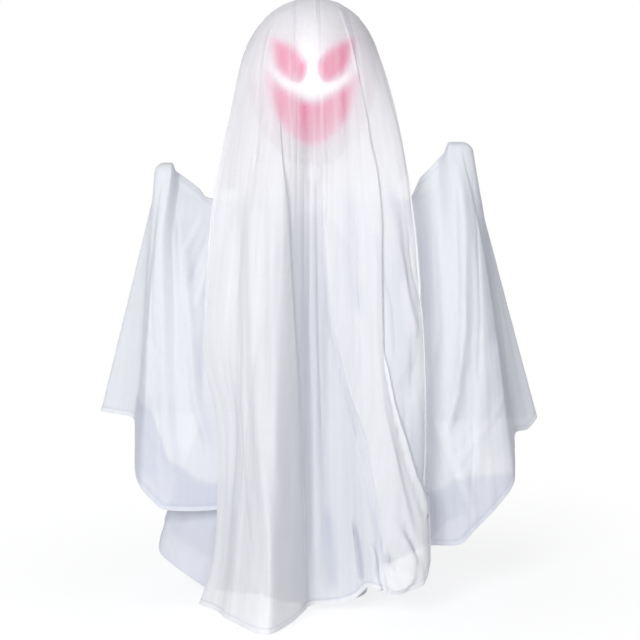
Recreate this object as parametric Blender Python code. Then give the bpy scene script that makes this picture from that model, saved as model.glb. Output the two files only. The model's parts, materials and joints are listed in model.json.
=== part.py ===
# Animated ghost figure: a battery ghost whose glowing head rises on a telescopic column under sheer cloth.
# Frame: metres, +Z up, the front faces -Y, and the origin is the centre of the base's flat underside.
import math

import bmesh
import bpy
from mathutils import Matrix, Vector

for old in list(bpy.data.objects):
    bpy.data.objects.remove(old, do_unlink=True)

MM = 0.001

# Gaps between pieces
seat_gap = 0.3 * MM
running_gap = 0.4 * MM
cut_overrun = 2.0 * MM

# Round base
base_radius = 85.0 * MM
base_height = 42.0 * MM
base_wall = 2.2 * MM
base_taper = 3.0 * MM
base_edge_round = 7.0 * MM
plate_thickness = 2.2 * MM
boss_radius = 3.6 * MM
boss_circle = 70.0 * MM
boss_bore_depth = 11.0 * MM
screw_shank = 1.3 * MM
screw_head = 2.9 * MM
screw_head_height = 1.0 * MM
screw_length = 9.0 * MM

# Deck fittings: sensor, switch and speaker
sensor_radius = 4.0 * MM
sensor_rim = 1.0 * MM
sensor_dome = 1.6 * MM
sensor_x = 9.0 * MM
controls_y = -52.0 * MM
switch_x = 31.0 * MM
switch_travel = 4.0 * MM
switch_knob_length = 6.0 * MM
switch_knob_width = 4.0 * MM
switch_knob_height = 3.0 * MM
switch_body_length = 15.0 * MM
switch_body_width = 7.5 * MM
switch_body_height = 6.0 * MM
speaker_radius = 20.0 * MM
speaker_depth = 12.0 * MM
speaker_rim = 1.6 * MM
magnet_radius = 10.0 * MM
magnet_height = 5.0 * MM
speaker_x = 50.0 * MM
speaker_y = -2.0 * MM
slot_width = 2.0 * MM
slot_pitch = 5.5 * MM
slot_rows = 5
board_length = 34.0 * MM
board_width = 44.0 * MM
board_thickness = 1.6 * MM
board_x = -48.0 * MM
board_y = -8.0 * MM
board_drop = 9.0 * MM
board_post = 2.4 * MM

# Batteries
cell_radius = 7.25 * MM
cell_length = 50.5 * MM
cell_nub_radius = 2.75 * MM
cell_nub_height = 1.0 * MM
cell_count = 3
cell_spacing = 0.7 * MM
first_cell_y = 30.5 * MM
contact_thickness = 0.6 * MM
tray_wall = 1.5 * MM
door_thickness = 2.2 * MM
door_lug = 9.0 * MM
door_overlap = 2.0 * MM

# Telescopic column
lift_travel = 250.0 * MM
outer_tube_radius = 16.0 * MM
outer_tube_wall = 1.5 * MM
inner_tube_radius = 10.5 * MM
inner_tube_wall = 1.0 * MM
socket_depth = 31.8 * MM
foot_height = 8.0 * MM
foot_spigot = 12.0 * MM
foot_stop = 1.5 * MM
guided_overlap = 30.0 * MM
bush_height = 10.0 * MM
bracket_skirt = 16.0 * MM
bracket_wall = 3.0 * MM
bracket_cap = 3.0 * MM
collar_height = 10.0 * MM
collar_spread = 7.0 * MM
collar_lip = 3.0 * MM

# Cord, winch and pulley
cord_radius = 0.5 * MM
drum_radius = 10.0 * MM
drum_flange = 14.0 * MM
drum_half_width = 10.8 * MM
drum_flange_width = 1.5 * MM
winding_turns = 4.5
winding_pitch = 1.5 * MM
winding_points_per_turn = 24
drum_axis_y = 40.0 * MM
drum_axis_height = 25.0 * MM
shaft_radius = 2.0 * MM
shaft_tail = 1.5 * MM
pulley_half_width = 2.0 * MM
pulley_flange = 0.95 * MM
pulley_lift = 14.5 * MM
pin_radius = 1.0 * MM
pin_head = 1.8 * MM
pin_head_height = 0.8 * MM
ear_width = 2.0 * MM
ear_round = 5.0 * MM
cord_slot = 2.4 * MM

# Gears
gear_module = 1.0 * MM
gear_teeth = 42
pinion_teeth = 14
gear_width = 5.0 * MM
gear_hub_radius = 6.0 * MM
gear_backlash = 0.3 * MM
addendum_share = 0.85
dedendum_share = 1.2
pressure_angle = math.radians(20)
mesh_angle = math.radians(35)
gear_gap = 1.2 * MM

# Winch cheeks and motor
cheek_width = 2.5 * MM
cheek_foot_round = 2.7 * MM
cheek_foot_spread = 12.0 * MM
cheek_shaft_round = 8.0 * MM
cheek_motor_round = 12.5 * MM
gearbox_radius = 10.0 * MM
gearbox_length = 15.0 * MM
motor_radius = 9.0 * MM
motor_length = 19.0 * MM
motor_tail_radius = 3.0 * MM
motor_tail = 2.0 * MM
motor_nose_radius = 4.0 * MM
motor_shaft_radius = 1.5 * MM
motor_shaft_depth = 6.0 * MM

# Shoulders, arms and hands
shoulder_height = 600.0 * MM
shoulder_block_radius = 17.0 * MM
shoulder_block_above = 12.0 * MM
shoulder_block_below = 22.0 * MM
arm_socket_radius = 7.0 * MM
arm_socket_reach = 36.0 * MM
arm_socket_depth = 13.0 * MM
arm_radius = 3.0 * MM
arm_span = 219.0 * MM
arm_forward = 40.0 * MM
left_hand_rise = 42.0 * MM
right_hand_rise = 72.0 * MM
hand_half_width = 17.0 * MM
hand_half_depth = 10.0 * MM
hand_half_height = 15.0 * MM
hand_socket_depth = 9.0 * MM
left_hand_turn = math.radians(80)
right_hand_turn = math.radians(15)

# Head
head_centre_height = 809.0 * MM
head_half_width = 99.0 * MM
head_half_depth = 97.0 * MM
head_crown = 102.0 * MM
head_chin = 150.0 * MM
head_wall = 2.0 * MM
neck_radius = 22.0 * MM
neck_clamp_radius = 16.0 * MM
neck_clamp_height = 24.0 * MM
neck_flange = 30.0 * MM
neck_flange_thickness = 3.0 * MM
face_segments = 14
head_rows = 12
face_width = 137.0 * MM
face_height = 166.0 * MM
face_cut_depth = 80.0 * MM
led_board_radius = 14.0 * MM
led_board_thickness = 1.6 * MM
led_radius = 2.5 * MM
led_height = 6.5 * MM
led_circle = 8.0 * MM
led_count = 3

# Cloth
cloth_thickness = 1.2 * MM
cloth_seat = 1.5 * MM
veil_clearance = 2.9 * MM
veil_reach = 255.0 * MM
veil_slit_height = 622.0 * MM
veil_fold_depth = 13.0 * MM
sleeve_reach = 335.0 * MM
sleeve_depth = 100.0 * MM
sleeve_inner_x = 52.0 * MM
sleeve_slack = 1.8 * MM
sleeve_fold_depth = 7.0 * MM
robe_half_width = 240.0 * MM
robe_half_depth = 100.0 * MM
robe_ring_gap = 0.45 * MM
robe_fold_depth = 6.0 * MM
floor_gap = 3.0 * MM

# Values worked out from the sizes above
deck_top = base_height
deck_under = base_height - base_wall
socket_floor = deck_top - socket_depth
socket_radius = outer_tube_radius + seat_gap
tube_bore = outer_tube_radius - outer_tube_wall
tube_bottom = socket_floor + seat_gap
foot_bottom = socket_floor + foot_stop + lift_travel
foot_top = foot_bottom + foot_height
tube_top = foot_bottom + foot_height + guided_overlap
bracket_seat = tube_top + seat_gap
cap_top = bracket_seat + bracket_cap
drum_axis_z = deck_top + drum_axis_height
cord_rise_y = drum_axis_y - drum_radius
cord_fall_y = (inner_tube_radius + tube_bore) / 2
pulley_y = (cord_rise_y + cord_fall_y) / 2
pulley_groove = (cord_rise_y - cord_fall_y) / 2
pulley_z = tube_top + pulley_lift
shaft_bore = shaft_radius + seat_gap
cheek_inner = drum_half_width + seat_gap + running_gap
cheek_outer = cheek_inner + cheek_width
gear_side = cheek_outer + gear_gap
gear_pitch_radius = gear_module * gear_teeth / 2
pinion_pitch_radius = gear_module * pinion_teeth / 2
mesh_distance = gear_pitch_radius + pinion_pitch_radius
motor_y = drum_axis_y + mesh_distance * math.cos(mesh_angle)
motor_z = drum_axis_z + mesh_distance * math.sin(mesh_angle)
inner_tube_bottom = foot_top + seat_gap
neck_bottom = head_centre_height - head_chin * math.sqrt(1 - (neck_radius / head_half_width) ** 2)
cell_pitch = 2 * cell_radius + cell_spacing
cell_z = plate_thickness + seat_gap + cell_radius
tray_top = cell_z + cell_radius + seat_gap + tray_wall
depth_share = head_half_depth / head_half_width

# Outline of the left eye, from its outer top corner: share of half the face's width, share of its height
eye_outline_shares = [
    (0.90, 0.945), (0.66, 0.925), (0.38, 0.855), (0.135, 0.735), (0.125, 0.665),
    (0.20, 0.585), (0.34, 0.565), (0.56, 0.605), (0.76, 0.69), (0.87, 0.81),
]
# Half outline of the mouth, from the middle of the upper edge round the corner to the lowest point
mouth_outline_shares = [
    (0.0, 0.385), (0.20, 0.40), (0.42, 0.455), (0.68, 0.525), (0.86, 0.60), (0.97, 0.66),
    (0.985, 0.52), (0.90, 0.36), (0.74, 0.225), (0.50, 0.105), (0.22, 0.02), (0.0, 0.0),
]
face_drop = 122.0 * MM
face_bottom = head_centre_height - face_drop

# Hem of the veil: direction in degrees from the front, to the figure's right in the picture,
# then sideways, forwards and height as shares of the veil's reach
veil_hem_shares = [
    (-100, -0.62, -0.52, 0.03), (-80, -0.62, 0.47, 0.02), (-66, -0.70, 0.50, 0.012), (-50, -0.58, 0.66, 0.012),
    (-32, -0.44, 0.84, 0.012), (-17, -0.28, 0.98, 0.012), (-9, -0.13, 0.82, 0.014), (-2, -0.03, 0.62, 0.03),
    (10, 0.10, 0.57, 0.04), (22, 0.24, 0.60, 0.05), (32, 0.36, 0.72, 0.12), (42, 0.48, 0.74, 0.13),
    (56, 0.62, 0.68, 0.19), (68, 0.67, 0.60, 0.30), (80, 0.66, 0.52, 0.42), (100, 0.64, -0.54, 0.06),
    (125, 0.54, -0.66, 0.03), (150, 0.34, -0.82, 0.02), (180, 0.0, -0.86, 0.02), (210, -0.36, -0.82, 0.02),
    (235, -0.56, -0.65, 0.025), (260, -0.62, -0.52, 0.03),
]
# Main folds of the veil: direction at the top and at the hem in degrees, width in degrees, depth share
veil_fold_shares = [
    (-66, -64, 7, 0.55), (-50, -46, 7, 0.75), (-28, -15, 6, 1.0), (-12, 2, 7, -0.9), (0, 12, 5, -0.35),
    (16, 22, 7, -0.9), (38, 36, 6, 0.9), (54, 50, 6, -0.45), (64, 62, 6, 0.6),
    (120, 118, 10, 0.6), (145, 145, 10, -0.6), (170, 172, 10, 0.7), (195, 194, 10, -0.5), (220, 222, 10, 0.8),
    (242, 242, 9, -0.4),
]
# Hem of each sleeve, from its inner front corner round the hand to its inner back corner: place along it
# from -1 to 1, outwards and forwards as shares of its reach and depth, height as a share of the shoulder's
left_sleeve_hem_shares = [
    (-1.0, 0.20, 0.98, 0.25), (-0.75, 0.42, 1.0, 0.22), (-0.5, 0.66, 1.0, 0.215), (-0.3, 0.80, 0.85, 0.235),
    (-0.15, 0.865, 0.5, 0.31), (0.0, 0.90, 0.1, 0.43), (0.12, 0.975, -0.25, 0.462), (0.3, 0.85, -0.7, 0.455),
    (0.6, 0.55, -0.95, 0.44), (1.0, 0.20, -0.98, 0.42),
]
right_sleeve_hem_shares = [
    (-1.0, 0.20, 0.98, 0.30), (-0.75, 0.42, 1.0, 0.285), (-0.5, 0.68, 1.0, 0.28), (-0.3, 0.85, 0.85, 0.265),
    (-0.14, 0.93, 0.5, 0.275), (0.0, 0.955, 0.1, 0.38), (0.12, 1.0, -0.25, 0.44), (0.3, 0.88, -0.7, 0.43),
    (0.6, 0.58, -0.95, 0.42), (1.0, 0.20, -0.98, 0.40),
]
# Hem of the robe: direction in degrees from the front, sideways, forwards and height shares
robe_hem_shares = [
    (-90, -0.98, 0.05, 0.31), (-65, -0.84, 0.62, 0.14), (-40, -0.62, 0.94, 0.05), (0, 0.0, 1.0, 0.04),
    (35, 0.52, 0.96, 0.12), (62, 0.86, 0.66, 0.33), (90, 1.0, 0.05, 0.42), (120, 0.82, -0.62, 0.25),
    (150, 0.48, -0.92, 0.06), (180, 0.0, -0.98, 0.04), (215, -0.56, -0.92, 0.05), (245, -0.86, -0.6, 0.2),
    (270, -0.98, 0.05, 0.31),
]


def finish(name, colour, roughness, metallic=0.0, alpha=1.0):
    """A Principled material."""
    made = bpy.data.materials.new(name)
    made.use_nodes = True
    shader = made.node_tree.nodes["Principled BSDF"]
    shader.inputs["Base Color"].default_value = (*colour, 1.0)
    shader.inputs["Roughness"].default_value = roughness
    shader.inputs["Metallic"].default_value = metallic
    shader.inputs["Alpha"].default_value = alpha
    made.diffuse_color = (*colour, alpha)
    return made


white_moulding = finish("white_moulding", (0.86, 0.87, 0.88), 0.45)
grey_moulding = finish("grey_moulding", (0.30, 0.31, 0.33), 0.5)
black_moulding = finish("black_moulding", (0.03, 0.03, 0.035), 0.45)
dark_lens = finish("dark_lens", (0.02, 0.015, 0.02), 0.12)
steel = finish("steel", (0.62, 0.62, 0.63), 0.3, 1.0)
tinned_steel = finish("tinned_steel", (0.75, 0.75, 0.76), 0.35, 1.0)
white_nylon = finish("white_nylon", (0.85, 0.85, 0.82), 0.4)
green_board = finish("green_board", (0.03, 0.22, 0.09), 0.4)
cell_sleeve = finish("cell_sleeve", (0.12, 0.13, 0.15), 0.35)
white_cord = finish("white_cord", (0.85, 0.85, 0.83), 0.7)
wire_cover = finish("wire_cover", (0.88, 0.88, 0.87), 0.6)
glowing_shell = finish("glowing_shell", (0.95, 0.95, 0.97), 0.4)
pink_lens = finish("pink_lens", (0.86, 0.30, 0.45), 0.35)
lamp_dome = finish("lamp_dome", (0.95, 0.95, 0.9), 0.15)
sheer_cloth = finish("sheer_cloth", (0.90, 0.91, 0.94), 0.85)


def place(name, mesh, made_of, at=(0, 0, 0), smooth=math.radians(35)):
    """An object of one mesh, with its faces turned out and its round sides shaded smooth."""
    body = bmesh.new()
    body.from_mesh(mesh)
    bmesh.ops.remove_doubles(body, verts=body.verts, dist=seat_gap / 30)
    bmesh.ops.recalc_face_normals(body, faces=body.faces)
    body.to_mesh(mesh)
    body.free()
    mesh.shade_smooth()
    mesh.set_sharp_from_angle(angle=smooth)
    thing = bpy.data.objects.new(name, mesh)
    thing.location = at
    mesh.materials.append(made_of)
    bpy.context.scene.collection.objects.link(thing)
    return thing


def loft(name, rings, made_of, at=(0, 0, 0), ends=True, joined=False):
    """A skin over rings of points that all hold the same count, closed at its two ends or joined in a loop."""
    count = len(rings[0])
    corners = [point for ring in rings for point in ring]
    spans = len(rings) if joined else len(rings) - 1
    faces = []
    for k in range(spans):
        a, b = k * count, (k + 1) % len(rings) * count
        for i in range(count):
            j = (i + 1) % count
            faces.append((a + i, a + j, b + j, b + i))
    if ends and not joined:
        faces.append(tuple(range(count)))
        faces.append(tuple(range(len(corners) - count, len(corners))))
    mesh = bpy.data.meshes.new(name)
    mesh.from_pydata([tuple(c) for c in corners], [], faces)
    return place(name, mesh, made_of, at)


def turned(name, profile, made_of, at=(0, 0, 0), sides=24, along="Z", start=0.0, sweep=math.tau, squeeze=1.0):
    """A turned solid: its closed profile of (radius, height) points swept round the axis."""
    whole = sweep >= math.tau
    steps = sides if whole else sides + 1
    rings = []
    for k in range(steps):
        angle = start + sweep * k / sides
        ring = [(r * math.cos(angle), r * math.sin(angle) * squeeze, h) for r, h in profile]
        if along == "X":
            ring = [(h, y, -x) for x, y, h in ring]
        rings.append(ring)
    return loft(name, rings, made_of, at, ends=not whole, joined=whole)


def rod(name, radius, low, high, made_of, at=(0, 0, 0), sides=20, along="Z"):
    """A plain cylinder from low to high along its axis."""
    ends = []
    for h in (low, high):
        ring = [(radius * math.cos(math.tau * k / sides), radius * math.sin(math.tau * k / sides), h)
                for k in range(sides)]
        if along == "X":
            ring = [(z, y, -x) for x, y, z in ring]
        ends.append(ring)
    return loft(name, ends, made_of, at)


def slab(name, outline, low, high, made_of, at=(0, 0, 0), along="Z"):
    """An outline of (across, up) points pushed out along X, Y or Z."""
    turn = {
        "X": lambda a, b, h: (h, a, b),
        "Y": lambda a, b, h: (a, h, b),
        "Z": lambda a, b, h: (a, b, h),
    }[along]
    return loft(name, [[turn(a, b, h) for a, b in outline] for h in (low, high)], made_of, at)


def block(name, low, high, made_of, at=(0, 0, 0)):
    """A box between two corners."""
    outline = [(low[0], low[1]), (high[0], low[1]), (high[0], high[1]), (low[0], high[1])]
    return slab(name, outline, low[2], high[2], made_of, at)


def tool(thing):
    """Marks an object as a cutter or guide, which isn't a piece."""
    thing.hide_render = True
    thing.display_type = "WIRE"
    return thing


def combine(thing, other, operation):
    """Cuts, joins or keeps the shape of one object with another."""
    step = thing.modifiers.new(other.name, "BOOLEAN")
    step.operation = operation
    step.solver = "EXACT"
    step.object = tool(other)
    return thing


def circle(radius, sides, at=(0, 0)):
    """Points of a circle."""
    return [
        (at[0] + radius * math.cos(math.tau * k / sides), at[1] + radius * math.sin(math.tau * k / sides))
        for k in range(sides)
    ]


def arc(centre, radius, first, last, steps):
    """Points of an arc from one angle to another, in degrees."""
    angles = [math.radians(first + (last - first) * k / steps) for k in range(steps + 1)]
    return [(centre[0] + radius * math.cos(a), centre[1] + radius * math.sin(a)) for a in angles]


def wrapped(circles, sides=24):
    """The outline of a band drawn tight round some circles, given as (across, up, radius)."""
    points = sorted({p for a, b, r in circles for p in circle(r, sides, (a, b))})

    def half(row):
        kept = []
        for p in row:
            while len(kept) > 1 and (
                (kept[-1][0] - kept[-2][0]) * (p[1] - kept[-2][1])
                - (kept[-1][1] - kept[-2][1]) * (p[0] - kept[-2][0])
            ) <= 0:
                kept.pop()
            kept.append(p)
        return kept[:-1]

    return half(points) + half(points[::-1])


def inset(outline, distance):
    """An outline whose sides are all moved in by a distance."""
    count = len(outline)
    area = sum(
        outline[k][0] * outline[(k + 1) % count][1] - outline[(k + 1) % count][0] * outline[k][1]
        for k in range(count)
    )
    side = math.copysign(1, area)
    moved = []
    for k in range(count):
        here, back, on = (Vector(outline[k]), Vector(outline[k - 1]), Vector(outline[(k + 1) % count]))
        one, two = (here - back).normalized(), (on - here).normalized()
        normal_one, normal_two = Vector((-one.y, one.x)) * side, Vector((-two.y, two.x)) * side
        middle = (normal_one + normal_two).normalized()
        moved.append(tuple(here + middle * distance / max(middle.dot(normal_one), 1 / 3)))
    return moved


def through(points, steps):
    """A smooth curve through some points, as a list of points."""
    points = [Vector(p) for p in points]
    padded = [2 * points[0] - points[1], *points, 2 * points[-1] - points[-2]]
    found = []
    for k in range(1, len(padded) - 2):
        a, b, c, d = padded[k - 1 : k + 3]
        for i in range(steps):
            t = i / steps
            found.append(
                (2 * b + (c - a) * t + (2 * a - 5 * b + 4 * c - d) * t ** 2 + (3 * b - a - 3 * c + d) * t ** 3) / 2
            )
    return found + [points[-1]]


def read_table(table, key):
    """The rest of a table's row at a key, smoothly between its rows."""
    key = min(max(key, table[0][0]), table[-1][0])
    k = max(i for i in range(len(table) - 1) if table[i][0] <= key)
    here, on = table[k], table[k + 1]
    back, past = table[max(k - 1, 0)], table[min(k + 2, len(table) - 1)]
    width = on[0] - here[0]
    t = (key - here[0]) / width
    values = []
    for i in range(1, len(here)):
        rise_here = (on[i] - back[i]) / (on[0] - back[0]) * width
        rise_on = (past[i] - here[i]) / (past[0] - here[0]) * width
        values.append(
            (2 * t ** 3 - 3 * t ** 2 + 1) * here[i]
            + (t ** 3 - 2 * t ** 2 + t) * rise_here
            + (3 * t ** 2 - 2 * t ** 3) * on[i]
            + (t ** 3 - t ** 2) * rise_on
        )
    return values


def tube_along(name, points, radius, made_of, resolution):
    """A round cord or wire along some points."""
    curve = bpy.data.curves.new(name, "CURVE")
    curve.dimensions = "3D"
    line = curve.splines.new("POLY")
    line.points.add(len(points) - 1)
    for knot, point in zip(line.points, points):
        knot.co = (*point, 1)
    curve.bevel_depth = radius
    curve.bevel_resolution = resolution
    curve.use_fill_caps = True
    curve.materials.append(made_of)
    thing = bpy.data.objects.new(name, curve)
    bpy.context.scene.collection.objects.link(thing)
    return thing


def hung(near, run):
    """How far hanging cloth has swung out by a share of its run: quickly at first, then falling straight."""
    return (1 - math.exp(-run / near)) / (1 - math.exp(-1 / near))


def ease(t):
    """A smooth step from 0 to 1."""
    t = min(max(t, 0.0), 1.0)
    return t * t * (3 - 2 * t)


def head_point(rise, grow):
    """Radius and height of the head's outline at an angle above its widest ring, grown outwards."""
    tall = head_crown if rise > 0 else head_chin
    return (
        (head_half_width + grow) * math.cos(rise),
        head_centre_height + (tall + grow) * math.sin(rise),
    )


def cloth(name, rows, at_faces):
    """Thin cloth over a grid of points; at_faces says which cells are cloth."""
    wide = len(rows[0])
    corners = [tuple(p) for row in rows for p in row]
    faces = []
    for k in range(len(rows) - 1):
        for i in range(wide):
            if at_faces(k, i):
                j = (i + 1) % wide
                faces.append((k * wide + i, k * wide + j, (k + 1) * wide + j, (k + 1) * wide + i))
    mesh = bpy.data.meshes.new(name)
    mesh.from_pydata(corners, [], faces)
    thing = place(name, mesh, sheer_cloth, smooth=math.radians(180))
    skin = bmesh.new()
    skin.from_mesh(mesh)
    bmesh.ops.delete(skin, geom=[v for v in skin.verts if not v.link_faces], context="VERTS")
    middle = sum((v.co for v in skin.verts), Vector()) / len(skin.verts)
    if sum(f.normal.dot(f.calc_center_median() - middle) * f.calc_area() for f in skin.faces) < 0:
        bmesh.ops.reverse_faces(skin, faces=skin.faces)
    skin.to_mesh(mesh)
    skin.free()
    thicken = thing.modifiers.new("thickness", "SOLIDIFY")
    thicken.thickness = cloth_thickness
    thicken.offset = 1.0
    return thing


def make_base():
    """The round housing with its socket, bosses, slots and holes, and its flat underside."""
    shoulder = base_radius - base_taper
    profile = [(0, socket_floor), (socket_radius, socket_floor), (socket_radius, deck_top)]
    outer_centre = (shoulder - base_edge_round, deck_top - base_edge_round)
    profile += arc(outer_centre, base_edge_round, 90, 0, 4)
    profile += [(base_radius, 0), (base_radius - base_wall, 0)]
    profile += arc(outer_centre, base_edge_round - base_wall, 0, 90, 2)
    socket_out = socket_radius + base_wall
    profile += [(socket_out, deck_under), (socket_out, socket_floor - base_wall), (0, socket_floor - base_wall)]
    shell = turned("base_shell", profile, white_moulding, sides=32)

    boss_low = plate_thickness + seat_gap
    for k in range(4):
        angle = math.radians(30 + 60 * (k % 2) * 2 + 180 * (k // 2))
        spot = (boss_circle * math.cos(angle), boss_circle * math.sin(angle))
        boss = turned(
            f"boss_{k + 1}",
            [
                (0, boss_low + boss_bore_depth), (screw_shank + seat_gap, boss_low + boss_bore_depth),
                (screw_shank + seat_gap, boss_low), (boss_radius, boss_low),
                (boss_radius, deck_under + base_wall / 2), (0, deck_under + base_wall / 2),
            ],
            white_moulding, (*spot, 0), sides=8,
        )
        combine(shell, boss, "UNION")
        recess = screw_head_height + seat_gap
        hole = turned(
            f"screw_hole_{k + 1}",
            [
                (0, -cut_overrun), (screw_head + seat_gap, -cut_overrun), (screw_head + seat_gap, recess),
                (screw_shank + seat_gap, recess), (screw_shank + seat_gap, plate_thickness + cut_overrun),
                (0, plate_thickness + cut_overrun),
            ],
            steel, (*spot, 0), sides=8,
        )
        screw_holes.append(hole)
        make_screw(f"base_screw_{k + 1}", spot)

    for spread in (-1, 1):
        post = rod(
            f"board_post_{spread + 2}", board_post, deck_under - board_drop + seat_gap,
            deck_under + base_wall / 2, white_moulding,
            (board_x, board_y + spread * (board_width / 2 - board_post * 2), 0), 12,
        )
        combine(shell, post, "UNION")

    half_row = (slot_rows - 1) / 2
    for k in range(slot_rows):
        across = (k - half_row) * slot_pitch
        reach = math.sqrt((speaker_radius - slot_pitch) ** 2 - across ** 2)
        slot_outline = wrapped([(-reach, across, slot_width / 2), (reach, across, slot_width / 2)], 6)
        slot = slab(
            f"speaker_slot_{k + 1}", slot_outline, deck_under - cut_overrun, deck_top + cut_overrun,
            white_moulding, (speaker_x, speaker_y, 0),
        )
        combine(shell, slot, "DIFFERENCE")
    sensor_hole = rod(
        "sensor_hole", sensor_radius + seat_gap, deck_under - cut_overrun, deck_top + cut_overrun,
        white_moulding, (sensor_x, controls_y, 0), 20,
    )
    combine(shell, sensor_hole, "DIFFERENCE")
    slot_half = (switch_knob_length + switch_travel) / 2 + running_gap
    switch_slot = block(
        "switch_slot", (-slot_half, -switch_knob_width / 2 - running_gap, deck_under - cut_overrun),
        (slot_half, switch_knob_width / 2 + running_gap, deck_top + cut_overrun),
        white_moulding, (switch_x, controls_y, 0),
    )
    combine(shell, switch_slot, "DIFFERENCE")


def make_screw(name, spot):
    """A pan-head screw with its head in the underside."""
    head_top = screw_head_height
    turned(
        name,
        [
            (0, seat_gap / 2), (screw_head * 0.8, seat_gap / 2), (screw_head, seat_gap * 1.5),
            (screw_head, head_top), (screw_shank, head_top), (screw_shank, screw_length * 0.85),
            (0, screw_length),
        ],
        steel, (*spot, 0), sides=8,
    )


def make_underside():
    """The base plate with its battery bay, the door, the cells with their contacts, and the tray over them."""
    bay_half = cell_length / 2 + cell_nub_height + contact_thickness + 2 * seat_gap
    bay_front = first_cell_y - cell_radius - seat_gap
    bay_back = first_cell_y + (cell_count - 1) * cell_pitch + cell_radius + seat_gap
    lug_x = bay_half + tray_wall / 2 + door_lug / 2
    bay_middle = (bay_front + bay_back) / 2
    plate = rod(
        "base_plate", base_radius - base_wall - running_gap - base_taper * plate_thickness / base_height,
        0, plate_thickness, grey_moulding, sides=32,
    )
    for hole in screw_holes:
        combine(plate, hole, "DIFFERENCE")

    def door_outline(grow):
        side = bay_half + grow
        lug = lug_x + door_lug / 2 + grow
        half_lug = door_lug / 2 + grow
        return [
            (-side, bay_front - grow), (side, bay_front - grow), (side, bay_middle - half_lug),
            (lug, bay_middle - half_lug), (lug, bay_middle + half_lug), (side, bay_middle + half_lug),
            (side, bay_back + grow), (-side, bay_back + grow),
        ]

    opening = slab("bay_opening", door_outline(0), -cut_overrun, plate_thickness + cut_overrun, grey_moulding)
    combine(plate, opening, "DIFFERENCE")
    door = slab("battery_door", door_outline(-seat_gap), 0, door_thickness, grey_moulding)
    recess = screw_head_height + seat_gap
    door_hole = turned(
        "door_screw_hole",
        [
            (0, -cut_overrun), (screw_head + seat_gap, -cut_overrun), (screw_head + seat_gap, recess),
            (screw_shank + seat_gap, recess), (screw_shank + seat_gap, plate_thickness + cut_overrun),
            (0, plate_thickness + cut_overrun),
        ],
        steel, (lug_x, bay_middle, 0), sides=12,
    )
    combine(door, door_hole, "DIFFERENCE")
    make_screw("door_screw", (lug_x, bay_middle))

    tray_low = plate_thickness + seat_gap
    tray_half = bay_half + tray_wall
    tray = block(
        "battery_tray", (-tray_half, bay_front - tray_wall, tray_low), (tray_half, bay_back + tray_wall, tray_top),
        black_moulding,
    )
    hollow = block(
        "tray_hollow", (-bay_half, bay_front, tray_low - cut_overrun), (bay_half, bay_back, tray_top - tray_wall),
        black_moulding,
    )
    lug = turned(
        "tray_lug",
        [
            (0, tray_low + boss_bore_depth), (screw_shank + seat_gap, tray_low + boss_bore_depth),
            (screw_shank + seat_gap, tray_low), (door_lug / 2, tray_low),
            (door_lug / 2, tray_low + boss_bore_depth + tray_wall), (0, tray_low + boss_bore_depth + tray_wall),
        ],
        black_moulding, (lug_x, bay_middle, 0), sides=12,
    )
    combine(tray, lug, "UNION")
    combine(tray, hollow, "DIFFERENCE")

    for k in range(cell_count):
        way = 1 if k % 2 == 0 else -1
        half = cell_length / 2 - cell_nub_height
        cell_profile = [
            (0, -half * way), (cell_radius, -half * way), (cell_radius, half * way),
            (cell_nub_radius, half * way), (cell_nub_radius, (half + cell_nub_height) * way),
            (0, (half + cell_nub_height) * way),
        ]
        turned(
            f"battery_{k + 1}", cell_profile, cell_sleeve,
            (0, first_cell_y + k * cell_pitch, cell_z), sides=16, along="X",
        )
    for side, label in ((-1, "left"), (1, "right")):
        near = side * (bay_half - seat_gap)
        far = near - side * contact_thickness
        block(
            f"contact_{label}",
            (min(near, far), bay_front + seat_gap, tray_low + seat_gap),
            (max(near, far), bay_back - seat_gap, tray_top - tray_wall - seat_gap),
            tinned_steel,
        )


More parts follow.
